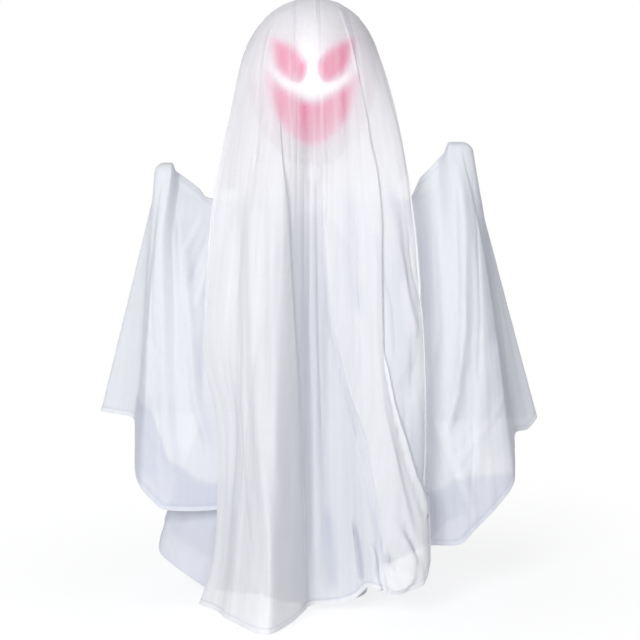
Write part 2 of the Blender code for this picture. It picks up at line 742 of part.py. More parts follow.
def make_electronics():
    """The sensor's lens, the switch, the speaker and the circuit board, hung from the deck."""
    lens_top = deck_top + seat_gap
    rim = sensor_radius + sensor_rim
    dome = [
        (rim * math.cos(math.radians(a)), lens_top + seat_gap + sensor_dome * math.sin(math.radians(a)))
        for a in range(0, 90, 30)
    ]
    turned(
        "sensor_window",
        [(0, deck_under), (sensor_radius, deck_under), (sensor_radius, lens_top), (rim, lens_top)]
        + dome + [(0, lens_top + seat_gap + sensor_dome)],
        dark_lens, (sensor_x, controls_y, 0), sides=16,
    )
    body_top = deck_under - seat_gap
    switch = block(
        "switch_body",
        (-switch_body_length / 2, -switch_body_width / 2, body_top - switch_body_height),
        (switch_body_length / 2, switch_body_width / 2, body_top),
        black_moulding, (switch_x, controls_y, 0),
    )
    knob_root = body_top - switch_body_height / 3
    pocket_half = (switch_knob_length + switch_travel) / 2 + running_gap
    pocket = block(
        "switch_pocket", (-pocket_half, -switch_knob_width / 2 - running_gap, knob_root - running_gap),
        (pocket_half, switch_knob_width / 2 + running_gap, body_top + cut_overrun),
        black_moulding, (switch_x, controls_y, 0),
    )
    combine(switch, pocket, "DIFFERENCE")
    knob_half = switch_knob_length / 2
    grip = knob_half / 3
    top = deck_top + switch_knob_height
    outline = [
        (-knob_half, knob_root), (knob_half, knob_root), (knob_half, top), (grip * 2, top), (grip * 1.5, top - grip / 2),
        (grip, top), (grip / 2, top - grip / 2), (0, top), (-grip / 2, top - grip / 2), (-grip, top),
        (-grip * 1.5, top - grip / 2), (-grip * 2, top), (-knob_half, top),
    ]
    slab(
        "power_switch_knob", outline, -switch_knob_width / 2, switch_knob_width / 2, black_moulding,
        (switch_x - switch_travel / 2, controls_y, 0), "Y",
    )
    speaker_top = deck_under - seat_gap
    cone_low = speaker_top - speaker_depth + magnet_height
    turned(
        "speaker",
        [
            (0, speaker_top - speaker_depth), (magnet_radius, speaker_top - speaker_depth),
            (magnet_radius, cone_low), (speaker_radius - speaker_rim, speaker_top - speaker_rim),
            (speaker_radius, speaker_top - speaker_rim), (speaker_radius, speaker_top),
            (speaker_radius - speaker_rim, speaker_top), (magnet_radius * 0.7, speaker_top - speaker_depth / 3),
            (magnet_radius * 0.4, speaker_top - speaker_depth / 5), (0, speaker_top - speaker_depth / 6),
        ],
        black_moulding, (speaker_x, speaker_y, 0), sides=20,
    )
    board_top = deck_under - board_drop
    block(
        "circuit_board",
        (-board_length / 2, -board_width / 2, board_top - board_thickness),
        (board_length / 2, board_width / 2, board_top),
        green_board, (board_x, board_y, 0),
    )


def make_column():
    """The fixed tube with its collar and top bracket, and the sliding tube with its foot."""
    turned(
        "outer_tube",
        [
            (tube_bore, tube_bottom), (outer_tube_radius, tube_bottom), (outer_tube_radius, tube_top),
            (tube_bore, tube_top),
        ],
        steel, sides=24,
    )
    collar_low = deck_top + seat_gap
    turned(
        "tube_collar",
        [
            (socket_radius, collar_low), (socket_radius + collar_spread, collar_low),
            (socket_radius + collar_spread, collar_low + collar_lip),
            (socket_radius + collar_spread * 0.7, collar_low + collar_lip * 1.2),
            (socket_radius + collar_lip, collar_low + collar_lip * 1.6),
            (socket_radius + collar_lip * 0.8, collar_low + collar_height),
            (socket_radius, collar_low + collar_height),
        ],
        white_moulding, sides=20,
    )
    guide = inner_tube_radius + running_gap
    bush_out = tube_bore - seat_gap
    cap_out = outer_tube_radius + bracket_wall
    bracket = turned(
        "top_bracket",
        [
            (guide, cap_top), (cap_out, cap_top), (cap_out, tube_top - bracket_skirt),
            (socket_radius, tube_top - bracket_skirt), (socket_radius, bracket_seat), (bush_out, bracket_seat),
            (bush_out, tube_top - bush_height), (guide, tube_top - bush_height),
        ],
        white_moulding, sides=20,
    )
    ear_outline = wrapped(
        [
            (pulley_y, pulley_z, ear_round), (cap_out - ear_width, cap_top - bracket_cap / 2, bracket_cap / 2),
            (bush_out + ear_width, cap_top - bracket_cap / 2, bracket_cap / 2),
        ],
        16,
    )
    ear_near = pulley_half_width + running_gap
    for side in (-1, 1):
        ear = slab(
            f"pulley_ear_{side + 2}", ear_outline, min(side * ear_near, side * (ear_near + ear_width)),
            max(side * ear_near, side * (ear_near + ear_width)), white_moulding, along="X",
        )
        combine(bracket, ear, "UNION")
    pin_hole = rod(
        "pin_hole", pin_radius + seat_gap, -ear_near - ear_width - cut_overrun, ear_near + ear_width + cut_overrun,
        steel, (0, pulley_y, pulley_z), 16, "X",
    )
    combine(bracket, pin_hole, "DIFFERENCE")
    cord_notch = block(
        "cord_notch", (-cord_slot / 2, guide - cut_overrun, tube_top - bush_height - cut_overrun),
        (cord_slot / 2, bush_out + seat_gap, cap_top + cut_overrun), white_moulding,
    )
    combine(bracket, cord_notch, "DIFFERENCE")

    turned(
        "inner_tube",
        [
            (inner_tube_radius - inner_tube_wall, inner_tube_bottom), (inner_tube_radius, inner_tube_bottom),
            (inner_tube_radius, neck_bottom), (inner_tube_radius - inner_tube_wall, neck_bottom),
        ],
        steel, sides=24,
    )
    spigot = inner_tube_radius - inner_tube_wall - seat_gap
    turned(
        "slider_foot",
        [
            (0, foot_bottom), (tube_bore - running_gap, foot_bottom), (tube_bore - running_gap, foot_top),
            (spigot, foot_top), (spigot, foot_top + foot_spigot), (0, foot_top + foot_spigot),
        ],
        black_moulding, sides=24,
    )


def make_pulley():
    """The grooved wheel over which the cord turns down into the tube, and its pin."""
    groove = pulley_groove - cord_radius - seat_gap
    rim = pulley_groove + pulley_flange
    bore = pin_radius + seat_gap
    valley = cord_radius + seat_gap
    turned(
        "pulley",
        [
            (bore, -pulley_half_width), (rim, -pulley_half_width), (rim, -valley * 1.6), (groove, -valley * 0.7),
            (groove, valley * 0.7), (rim, valley * 1.6), (rim, pulley_half_width), (bore, pulley_half_width),
        ],
        white_nylon, (0, pulley_y, pulley_z), sides=20, along="X",
    )
    reach = pulley_half_width + running_gap + ear_width + seat_gap
    turned(
        "pulley_pin",
        [
            (0, -reach), (pin_radius, -reach), (pin_radius, reach), (pin_head, reach),
            (pin_head, reach + pin_head_height), (0, reach + pin_head_height),
        ],
        steel, (0, pulley_y, pulley_z), sides=12, along="X",
    )


def gear_outline(teeth, gap_first):
    """Outline of an involute gear, with a tooth or a gap pointing along its first direction."""
    pitch = gear_module * teeth / 2
    base = pitch * math.cos(pressure_angle)
    tip = pitch + gear_module * addendum_share
    root = pitch - gear_module * dedendum_share

    def involute(angle):
        return math.tan(angle) - angle

    half = math.pi / (2 * teeth) - gear_backlash / (4 * pitch)
    at_base = half + involute(pressure_angle)

    def spread(radius):
        if radius <= base:
            return at_base
        return at_base - involute(math.acos(base / radius))

    low = max(base, root)
    radii = [root, low, (low + tip) / 2, tip] if low > root else [root, (root + tip) / 2, tip]
    outline = []
    for k in range(teeth):
        centre = math.tau * (k + (0.5 if gap_first else 0)) / teeth
        outline += [(r, centre - spread(r)) for r in radii]
        outline += [(r, centre + spread(r)) for r in reversed(radii)]
    return [(r * math.cos(a), r * math.sin(a)) for r, a in outline]


def turned_by(outline, angle):
    """An outline turned about its origin."""
    return [
        (a * math.cos(angle) - b * math.sin(angle), a * math.sin(angle) + b * math.cos(angle)) for a, b in outline
    ]


def make_winch():
    """The open winch: cheeks, shaft, drum with its cord, gear, pinion and motor."""
    axis = (0, drum_axis_y, drum_axis_z)
    core = drum_radius - cord_radius - seat_gap
    inner = drum_half_width - drum_flange_width
    turned(
        "winch_drum",
        [
            (shaft_bore, -drum_half_width), (drum_flange, -drum_half_width), (drum_flange, -inner), (core, -inner),
            (core, inner), (drum_flange, inner), (drum_flange, drum_half_width), (shaft_bore, drum_half_width),
        ],
        white_nylon, axis, sides=20, along="X",
    )
    gear_far = gear_side + gear_width
    rod(
        "drum_shaft", shaft_radius, -gear_far - shaft_tail, cheek_outer + shaft_tail, steel, axis, 20, "X",
    )
    gear = slab(
        "drum_gear", turned_by(gear_outline(gear_teeth, False), mesh_angle), -gear_far, -gear_side, white_nylon,
        axis, "X",
    )
    hub = rod("gear_hub", gear_hub_radius, -gear_side - gear_gap, -cheek_outer - running_gap, white_nylon, axis,
              24, "X")
    combine(gear, hub, "UNION")
    web = gear_pitch_radius - gear_module * dedendum_share * 2
    dish = turned(
        "gear_dish",
        [
            (gear_hub_radius, -gear_far - cut_overrun), (web, -gear_far - cut_overrun),
            (web, -gear_far + gear_width / 2), (gear_hub_radius, -gear_far + gear_width / 2),
        ],
        white_nylon, axis, sides=20, along="X",
    )
    combine(gear, dish, "DIFFERENCE")
    bore = rod("gear_bore", shaft_bore, -gear_far - cut_overrun, 0, white_nylon, axis, 20, "X")
    combine(gear, bore, "DIFFERENCE")

    motor_axis = (0, motor_y, motor_z)
    pinion = slab(
        "motor_pinion", turned_by(gear_outline(pinion_teeth, True), mesh_angle + math.pi), -gear_far, -gear_side,
        white_nylon, motor_axis, "X",
    )
    stub = rod(
        "pinion_stub", motor_shaft_radius, -gear_far - shaft_tail,
        -cheek_outer + motor_shaft_depth - seat_gap, steel, motor_axis, 16, "X",
    )
    combine(pinion, stub, "UNION")

    def cheek_holes(cheek, low, high, with_motor):
        shaft_hole = rod(
            f"{cheek.name}_shaft_hole", shaft_bore, low - cut_overrun, high + cut_overrun, steel, axis, 20, "X",
        )
        combine(cheek, shaft_hole, "DIFFERENCE")
        if with_motor:
            nose_hole = rod(
                f"{cheek.name}_nose_hole", motor_nose_radius + seat_gap, low - cut_overrun, high + cut_overrun,
                steel, motor_axis, 24, "X",
            )
            combine(cheek, nose_hole, "DIFFERENCE")

    foot_z = deck_top + seat_gap + cheek_foot_round
    foot_circles = [
        (drum_axis_y - cheek_foot_spread, foot_z, cheek_foot_round),
        (drum_axis_y + cheek_foot_spread, foot_z, cheek_foot_round),
        (drum_axis_y, drum_axis_z, cheek_shaft_round),
    ]
    motor_circle = (motor_y, motor_z, cheek_motor_round)
    left = slab(
        "winch_frame_left", wrapped(foot_circles + [motor_circle]), -cheek_outer, -cheek_inner, white_moulding,
        along="X",
    )
    cheek_holes(left, -cheek_outer, -cheek_inner, True)
    right = slab(
        "winch_frame_right", wrapped(foot_circles), cheek_inner, cheek_outer, white_moulding, along="X",
    )
    cheek_holes(right, cheek_inner, cheek_outer, False)

    face = -cheek_inner + seat_gap
    nose = -cheek_outer
    body_end = face + gearbox_length
    motor = turned(
        "gear_motor",
        [
            (0, nose), (motor_nose_radius, nose), (motor_nose_radius, face), (gearbox_radius, face),
            (gearbox_radius, body_end), (motor_radius, body_end), (motor_radius, body_end + motor_length),
            (motor_tail_radius, body_end + motor_length),
            (motor_tail_radius, body_end + motor_length + motor_tail), (0, body_end + motor_length + motor_tail),
        ],
        grey_moulding, motor_axis, sides=20, along="X",
    )
    shaft_hole = rod(
        "motor_shaft_hole", motor_shaft_radius + seat_gap, nose - cut_overrun, nose + motor_shaft_depth, steel,
        motor_axis, 16, "X",
    )
    combine(motor, shaft_hole, "DIFFERENCE")


def make_cord():
    """The turns of cord on the drum, and the cord from the drum over the pulley to the slider foot."""
    turns = []
    last = math.pi
    steps = round(winding_turns * winding_points_per_turn)
    for k in range(steps + 1):
        angle = last + math.tau * winding_turns * (1 - k / steps)
        across = -winding_pitch * winding_turns * (1 - k / steps)
        turns.append(Vector((across, drum_radius * math.cos(angle), drum_radius * math.sin(angle))))
    first_way = (turns[0] - turns[1]).normalized()
    tail = 2 * cord_radius
    turns.insert(0, turns[0] + first_way * tail)
    turns.append(turns[-1] + Vector((0, 0, tail)))
    least = min(
        (turns[a] - turns[b]).length
        for a in range(len(turns))
        for b in range(a + winding_points_per_turn // 2, len(turns))
    )
    print("cord_winding: least gap to itself", round((least - 2 * cord_radius) / MM, 3), "mm")
    winding = tube_along("cord_winding", turns, cord_radius, white_cord, 1)
    winding.location = (0, drum_axis_y, drum_axis_z)

    start_z = drum_axis_z + tail + seat_gap
    route = [(0, cord_rise_y, start_z)]
    route += [(0, a, b) for a, b in arc((pulley_y, pulley_z), pulley_groove, 0, 180, 12)]
    route.append((0, cord_fall_y, foot_top + seat_gap))
    tube_along("lift_cord", route, cord_radius, white_cord, 1)


def arm_route(side):
    """The bent wire of one arm, from its socket in the shoulder block to the middle of the hand."""
    rise = left_hand_rise if side < 0 else right_hand_rise
    start = arm_socket_reach - arm_socket_depth + seat_gap
    marks = [
        (start, 0, 0), (arm_socket_reach, 0, 0), (arm_span * 0.45, -arm_forward * 0.1, 0),
        (arm_span * 0.66, -arm_forward * 0.3, rise * 0.04), (arm_span * 0.84, -arm_forward * 0.65, rise * 0.35),
        (arm_span, -arm_forward, rise),
    ]
    return through([(side * x, y, shoulder_height + z) for x, y, z in marks], 3)


def make_shoulders():
    """The shoulder block on the sliding tube, the two bendable arms and their hand paddles."""
    low, high = shoulder_height - shoulder_block_below, shoulder_height + shoulder_block_above
    shoulders = rod("shoulder_block", shoulder_block_radius, low, high, white_moulding, sides=20)
    bar = rod(
        "shoulder_bar", arm_socket_radius, -arm_socket_reach, arm_socket_reach, white_moulding,
        (0, 0, shoulder_height), 16, "X",
    )
    combine(shoulders, bar, "UNION")
    tube_hole = rod(
        "shoulder_tube_hole", inner_tube_radius + seat_gap, low - cut_overrun, high + cut_overrun,
        white_moulding, sides=32,
    )
    combine(shoulders, tube_hole, "DIFFERENCE")
    for side, label in ((-1, "left"), (1, "right")):
        deep = arm_socket_reach - arm_socket_depth
        ends = sorted((side * deep, side * (arm_socket_reach + cut_overrun)))
        socket = rod(
            f"arm_socket_{label}", arm_radius + seat_gap, ends[0], ends[1], white_moulding,
            (0, 0, shoulder_height), 16, "X",
        )
        combine(shoulders, socket, "DIFFERENCE")
        route = arm_route(side)
        way = (route[-1] - route[-2]).normalized()
        hand_centre = route[-1] + way * (hand_half_height - hand_socket_depth)
        tube_along(f"arm_{label}", route, arm_radius, wire_cover, 2)
        turn = left_hand_turn if side < 0 else right_hand_turn
        paddle = bmesh.new()
        bmesh.ops.create_uvsphere(paddle, u_segments=14, v_segments=8, radius=1)
        sized = Matrix.Diagonal((hand_half_width, hand_half_depth, hand_half_height, 1))
        paddle.transform(Matrix.Rotation(turn, 4, "Z") @ sized)
        mesh = bpy.data.meshes.new(f"hand_{label}")
        paddle.to_mesh(mesh)
        paddle.free()
        hand = place(f"hand_{label}", mesh, white_moulding, hand_centre)
        hole = rod(
            f"hand_hole_{label}", arm_radius + seat_gap, -hand_half_height * 2,
            hand_socket_depth - hand_half_height + seat_gap, white_moulding, hand_centre, 16,
        )
        hole.rotation_mode = "QUATERNION"
        hole.rotation_quaternion = way.to_track_quat("Z", "Y")
        combine(hand, hole, "DIFFERENCE")


def head_profile(grow_out, grow_in):
    """Closed half profile of the hollow head, from the neck opening over the crown and back inside."""
    neck_rise = -math.acos(neck_radius / head_half_width)
    rises = [neck_rise + (math.pi / 2 - neck_rise) * k / head_rows for k in range(head_rows + 1)]
    outer = [head_point(r, grow_out) for r in rises]
    inner = [head_point(r, grow_in) for r in reversed(rises)]
    return [(max(r, 0), h) for r, h in outer + inner]


def face_outlines():
    """The outlines of the two eyes and the mouth in the front view."""
    half = face_width / 2
    eye = [(-a * half, face_bottom + b * face_height) for a, b in eye_outline_shares]
    other = [(-a, b) for a, b in reversed(eye)]
    right_side = [(a * half, face_bottom + b * face_height) for a, b in mouth_outline_shares]
    left_side = [(-a, b) for a, b in reversed(right_side[1:-1])]
    return {"eye_left": eye, "eye_right": other, "mouth": right_side + left_side}


def make_head():
    """The two head shells with the face's cut-outs, the pieces in them, the neck plate and the lamp."""
    lens = seat_gap / 2
    split = 2 * math.asin(seat_gap / head_half_width)
    profile = head_profile(0, -head_wall)
    front = turned(
        "head_front", profile, glowing_shell, sides=face_segments, start=math.pi + split / 2,
        sweep=math.pi - split, squeeze=depth_share,
    )
    turned(
        "head_back", profile, glowing_shell, sides=face_segments, start=split / 2, sweep=math.pi - split,
        squeeze=depth_share,
    )
    for name, outline in face_outlines().items():
        opening = slab(
            f"{name}_opening", outline, -head_half_depth - cut_overrun, -head_half_depth + face_cut_depth,
            glowing_shell, along="Y",
        )
        combine(front, opening, "DIFFERENCE")
        piece = turned(
            name, head_profile(-lens, -head_wall + lens), pink_lens, sides=face_segments,
            start=math.pi + split / 2, sweep=math.pi - split, squeeze=depth_share,
        )
        keep = slab(
            f"{name}_outline", inset(outline, seat_gap), -head_half_depth - cut_overrun,
            -head_half_depth + face_cut_depth, pink_lens, along="Y",
        )
        combine(piece, keep, "INTERSECT")

    clamp_bore = inner_tube_radius + seat_gap
    neck_throat = neck_radius * depth_share - head_wall / 2 - seat_gap
    edge, next_ring = profile[-1], profile[-2]
    facet_share = depth_share * math.cos(math.pi / (2 * face_segments))

    def neck_seat(radius):
        along = (radius / facet_share - edge[0]) / (next_ring[0] - edge[0])
        return edge[1] + (next_ring[1] - edge[1]) * along + 1.5 * seat_gap

    flange_low = neck_seat(neck_flange * depth_share)
    plate_top = flange_low + neck_flange_thickness
    lip = neck_seat(neck_throat)
    turned(
        "head_plate",
        [
            (clamp_bore, neck_bottom - neck_clamp_height), (neck_clamp_radius, neck_bottom - neck_clamp_height),
            (neck_clamp_radius, neck_bottom - head_wall), (neck_throat, neck_bottom - head_wall),
            (neck_throat, lip), (neck_flange * depth_share, flange_low), (neck_flange * depth_share, plate_top),
            (0, plate_top), (0, neck_bottom + seat_gap), (clamp_bore, neck_bottom + seat_gap),
        ],
        white_moulding, sides=20,
    )
    board_low = plate_top + seat_gap
    rod(
        "led_board", led_board_radius, board_low, board_low + led_board_thickness, green_board, sides=20,
    )
    lamp_low = board_low + led_board_thickness + seat_gap
    for k in range(led_count):
        angle = math.tau * k / led_count
        straight = lamp_low + led_height - led_radius
        dome = arc((0, straight), led_radius, 0, 90, 3)
        turned(
            f"led_{k + 1}",
            [
                (0, lamp_low), (led_radius * 1.15, lamp_low), (led_radius * 1.15, lamp_low + led_radius * 0.4),
                (led_radius, lamp_low + led_radius * 0.4),
            ] + dome[:-1] + [(0, straight + led_radius)],
            lamp_dome, (led_circle * math.cos(angle), led_circle * math.sin(angle), 0), sides=10,
        )


def fold_height(table, bearing, run):
    """Sum of the ridges and valleys of cloth at a bearing and a share of its fall, in shares of its depth."""
    height = 0.0
    for top, bottom, width, depth in table:
        away = (bearing - (top + (bottom - top) * run) + 180) % 360 - 180
        height += depth * math.exp(-((away / width) ** 2))
    return height


def head_reach(plan, height):
    """How far from the axis the veil must stay, at a height and in a plan direction, to clear the head."""
    up = height - head_centre_height
    tall = head_crown if up > 0 else head_chin
    if abs(up) >= tall:
        return 0
    ring = math.sqrt(1 - (up / tall) ** 2)
    way = plan.normalized()
    return ring / math.hypot(way.x / head_half_width, way.y / head_half_depth) + veil_clearance


def make_veil():
    """The long veil: laid on the crown of the head, then hung to the floor, slit at the sides for the arms."""
    leave = math.radians(24)
    crown_rows, fall_rows = 5, 10
    front = [-80 + 160 * k / 19 for k in range(20)]
    back = [100 + 160 * k / 10 for k in range(11)]
    bearings = front + [90] + back + [270]
    rows = []
    for k in range(crown_rows + 1):
        rise = math.pi / 2 + (leave - math.pi / 2) * k / crown_rows
        radius, height = head_point(rise, cloth_seat)
        rows.append([
            (radius * math.sin(math.radians(b)), -radius * math.cos(math.radians(b)) * depth_share, height)
            for b in bearings
        ])
    start_radius, start_height = head_point(leave, cloth_seat)
    table = [(b, x * veil_reach, y * veil_reach, z * veil_reach) for b, x, y, z in veil_hem_shares]
    for k in range(1, fall_rows + 1):
        share = (k / fall_rows) ** 1.5
        row = []
        for b in bearings:
            key = b if b <= 260 else b - 360
            side_x, ahead, hem_z = read_table(table, key)
            facing = math.cos(math.radians(b)) ** 2
            out = hung(0.27, share)
            forward = 0.42 * out + 0.58 * share ** 2
            swing = out + (forward - out) * facing
            start = Vector((
                start_radius * math.sin(math.radians(b)), -start_radius * math.cos(math.radians(b)) * depth_share
            ))
            plan = start + (Vector((side_x, -ahead)) - start) * swing
            depth = veil_fold_depth * ease(share / 0.35) * fold_height(veil_fold_shares, b, share)
            plan += plan.normalized() * depth
            height = start_height + (hem_z + floor_gap - start_height) * share
            plan *= max(1, head_reach(plan, height) / plan.length)
            row.append((plan.x, plan.y, height))
        rows.append(row)
    slit_first, slit_last = len(front), len(bearings) - 1

    def is_cloth(k, i):
        beside_slit = i in (slit_first - 1, slit_first, slit_last - 1, slit_last)
        return not beside_slit or rows[k + 1][i][2] > veil_slit_height

    cloth("veil", rows, is_cloth)


def make_sleeve(side, label, hem_shares):
    """A sleeve cloth laid along the arm and over the hand, hung in front, round the outside and behind."""
    route = arm_route(side)
    turn = left_hand_turn if side < 0 else right_hand_turn
    columns, fall_rows = 22, 7
    tip_share = 0.26
    way = (route[-1] - route[-2]).normalized()
    tip = route[-1] + way * (hand_half_height - hand_socket_depth)
    hand_inner = math.hypot(hand_half_width * math.cos(turn), hand_half_depth * math.sin(turn)) + sleeve_slack
    inner = Vector((side * sleeve_inner_x, 0, shoulder_height))
    ridge_marks = [inner] + [p for p in route if abs(p.x) > sleeve_inner_x + arm_radius] + [tip]
    lengths = [0.0]
    for one, two in zip(ridge_marks, ridge_marks[1:]):
        lengths.append(lengths[-1] + (two - one).length)

    def ridge(t):
        want = t * lengths[-1]
        k = max(i for i in range(len(lengths) - 1) if lengths[i] <= want + seat_gap / 100)
        part = (want - lengths[k]) / (lengths[k + 1] - lengths[k])
        return ridge_marks[k].lerp(ridge_marks[k + 1], min(part, 1.0))

    table = [
        (u, x * sleeve_reach * side, -y * sleeve_depth, z * shoulder_height) for u, x, y, z in hem_shares
    ]
    rows = [[] for _ in range(fall_rows + 4)]
    for i in range(columns + 1):
        u = -1 + 2 * i / columns
        t = 1 - (max(abs(u) - tip_share, 0) / (1 - tip_share)) ** 1.6
        bend = ease((u / tip_share + 1) / 2) * math.pi - math.pi / 2
        out = Vector((side * math.cos(bend), math.sin(bend), 0))
        local = Matrix.Rotation(-turn, 3, "Z") @ out
        spine = ridge(t)
        on_hand = 1 - ease(((tip - spine).to_2d().length - hand_inner) / hand_inner)
        spine.y += (tip.y - spine.y) * on_hand
        spine.z += (tip.z - spine.z) * on_hand
        hand_side = math.hypot(local.x * hand_half_width, local.y * hand_half_depth)
        seat = cloth_seat + arm_radius + sleeve_slack * ease(t * 4)
        hand_seat = cloth_seat + sleeve_slack * 0.8
        half = seat + (hand_side + hand_seat - seat) * on_hand
        above = seat + (hand_half_height + hand_seat - seat) * on_hand
        hem = Vector(read_table(table, u))
        for k in range(4):
            bow = math.radians(30 * k)
            rows[k].append(spine + out * half * math.sin(bow) + Vector((0, 0, above * math.cos(bow))))
        start = rows[3][-1]
        for k in range(1, fall_rows + 1):
            share = k / fall_rows
            outward = max(0, 1 - abs(u) / tip_share)
            swing = hung(0.40, share) * (1 - outward) + share ** 0.9 * outward
            place_now = start + (hem - start) * swing
            place_now.z = start.z + (hem.z - start.z) * share
            wave = math.sin(u * 17 + share * 2) + 0.6 * math.sin(u * 29 - share)
            place_now += out * sleeve_fold_depth * ease(share * 1.4) * wave
            rows[k + 3].append(place_now)
    cloth(f"sleeve_{label}", rows, lambda k, i: i < columns)


def make_robe():
    """The long under-skirt, gathered round the shoulder block and hung outside the base."""
    count, fall_rows = 27, 9
    table = [(b, x * robe_half_width, y * robe_half_depth, z * robe_half_width) for b, x, y, z in robe_hem_shares]
    top = shoulder_height - shoulder_block_below * 0.6
    ring = shoulder_block_radius + robe_ring_gap
    rows = []
    for k in range(fall_rows + 1):
        share = k / fall_rows
        row = []
        for i in range(count):
            b = -90 + 360 * i / count
            side_x, ahead, hem_z = read_table(table, b)
            start = Vector((math.sin(math.radians(b)), -math.cos(math.radians(b)))) * ring
            across = share ** 0.8
            deep = 0.45 * share ** 0.6 + 0.55 * share
            hem = Vector((side_x, -ahead))
            plan = Vector((start.x + (hem.x - start.x) * across, start.y + (hem.y - start.y) * deep))
            wave = math.sin(math.radians(b) * 9) + 0.5 * math.sin(math.radians(b) * 5 + 1)
            plan += plan.normalized() * robe_fold_depth * ease(share * 1.5) * wave
            row.append((plan.x, plan.y, top + (hem_z + floor_gap - top) * share))
        rows.append(row)
    cloth("robe", rows, lambda k, i: True)


screw_holes = []
make_base()
make_underside()
make_electronics()
make_column()
make_pulley()
make_winch()
make_cord()
make_shoulders()
make_head()
make_veil()
make_sleeve(-1, "left", left_sleeve_hem_shares)
make_sleeve(1, "right", right_sleeve_hem_shares)
make_robe()
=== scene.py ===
import json
import math

import bmesh
import bpy
import numpy as np
from mathutils import Matrix, Vector
from mathutils.kdtree import KDTree


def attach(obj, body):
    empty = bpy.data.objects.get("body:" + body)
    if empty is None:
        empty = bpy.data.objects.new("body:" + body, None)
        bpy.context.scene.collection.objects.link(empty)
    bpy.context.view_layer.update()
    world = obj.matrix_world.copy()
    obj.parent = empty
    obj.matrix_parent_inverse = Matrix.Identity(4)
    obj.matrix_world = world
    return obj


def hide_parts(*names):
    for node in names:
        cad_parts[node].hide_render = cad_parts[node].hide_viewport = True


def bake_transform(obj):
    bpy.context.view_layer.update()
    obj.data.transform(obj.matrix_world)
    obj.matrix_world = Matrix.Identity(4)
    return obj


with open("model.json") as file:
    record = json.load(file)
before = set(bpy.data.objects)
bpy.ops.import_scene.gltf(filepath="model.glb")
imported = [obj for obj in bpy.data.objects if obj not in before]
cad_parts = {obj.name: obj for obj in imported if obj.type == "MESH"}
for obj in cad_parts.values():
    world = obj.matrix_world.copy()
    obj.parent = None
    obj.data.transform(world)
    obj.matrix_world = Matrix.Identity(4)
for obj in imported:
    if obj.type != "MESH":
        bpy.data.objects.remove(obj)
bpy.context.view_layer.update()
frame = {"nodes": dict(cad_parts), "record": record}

MM = 0.001

# Camera and floor
camera_place = (11.0 * MM, -2.4, 0.62)
camera_tilt = 4.7
camera_lens = 87.8
film_width = 36.0
lamp_aim = (0, 0, 0.45)
floor_side = 24
floor_drop = 0.4 * MM

# Head
head_centre_height = 809.0 * MM
head_half_width = 99.0 * MM
head_half_depth = 97.0 * MM
head_crown = 102.0 * MM
head_chin = 150.0 * MM
head_wall = 2.0 * MM
head_split = 0.3 * MM
neck_radius = 22.0 * MM
depth_share = head_half_depth / head_half_width
face_width = 137.0 * MM
face_height = 166.0 * MM
face_bottom = head_centre_height - 122.0 * MM
lens_gap = 0.3 * MM
cutter_span = (-130.0 * MM, -12.0 * MM)
# Where the lamps shine brightest through the shell and how far that spreads: sideways, height
glow_spot = (-2.0 * MM, 788.0 * MM)
glow_spread = (56.0 * MM, 27.0 * MM)
brow_spot = (-2.0 * MM, 826.0 * MM)
brow_spread = (19.0 * MM, 46.0 * MM)

# Arms and hands
shoulder_height = 600.0 * MM
arm_radius = 3.0 * MM
arm_span = 219.0 * MM
arm_forward = 40.0 * MM
arm_start = 23.3 * MM
arm_socket_reach = 36.0 * MM
hand_rise = {-1: 42.0 * MM, 1: 72.0 * MM}
hand_half = Vector((17.0 * MM, 10.0 * MM, 15.0 * MM))
hand_turn = {-1: math.radians(80), 1: math.radians(15)}
hand_socket_depth = 9.0 * MM

# Cord
cord_radius = 0.5 * MM
drum_middle = Vector((0, 40.0 * MM, 67.0 * MM))
drum_radius = 10.0 * MM
winding_turns = 4.5
winding_pitch = 1.5 * MM
pulley_middle = Vector((0, 21.25 * MM, 314.2 * MM))
pulley_groove = 8.75 * MM
cord_foot = 270.0 * MM

# Cloth
cloth_seat = 1.5 * MM
thread_pitch = 0.7 * MM
veil_clearance = 2.9 * MM
veil_reach = 255.0 * MM
veil_slit_height = 622.0 * MM
veil_slit_half = 10
veil_front_half = 80
veil_leave = math.radians(24)
veil_crown_rows = 12
veil_tuck = 36.0 * MM
veil_loose = 7.0 * MM
veil_hem_top = 130.0 * MM
sleeve_reach = 335.0 * MM
sleeve_depth = 100.0 * MM
sleeve_inner = 52.0 * MM
sleeve_slack = 1.8 * MM
sleeve_tip_share = 0.26
sleeve_bow_rows = 9
robe_half_width = 240.0 * MM
robe_half_depth = 100.0 * MM
robe_ring = 17.45 * MM
robe_top = 586.8 * MM
floor_gap = 3.0 * MM
hem_width = 7.0 * MM
plain_cover = 0.9
flat_scale = 0.24

# Outline of the left eye, from its outer top corner: share of half the face's width, share of its height
eye_outline = [
    (0.90, 0.945), (0.66, 0.925), (0.38, 0.855), (0.135, 0.735), (0.125, 0.665),
    (0.20, 0.585), (0.34, 0.565), (0.56, 0.605), (0.76, 0.69), (0.87, 0.81),
]
# Half outline of the mouth, from the middle of the upper edge round the corner to the lowest point
mouth_outline = [
    (0.0, 0.385), (0.20, 0.40), (0.42, 0.455), (0.68, 0.525), (0.86, 0.60), (0.97, 0.66),
    (0.985, 0.52), (0.90, 0.36), (0.74, 0.225), (0.50, 0.105), (0.22, 0.02), (0.0, 0.0),
]
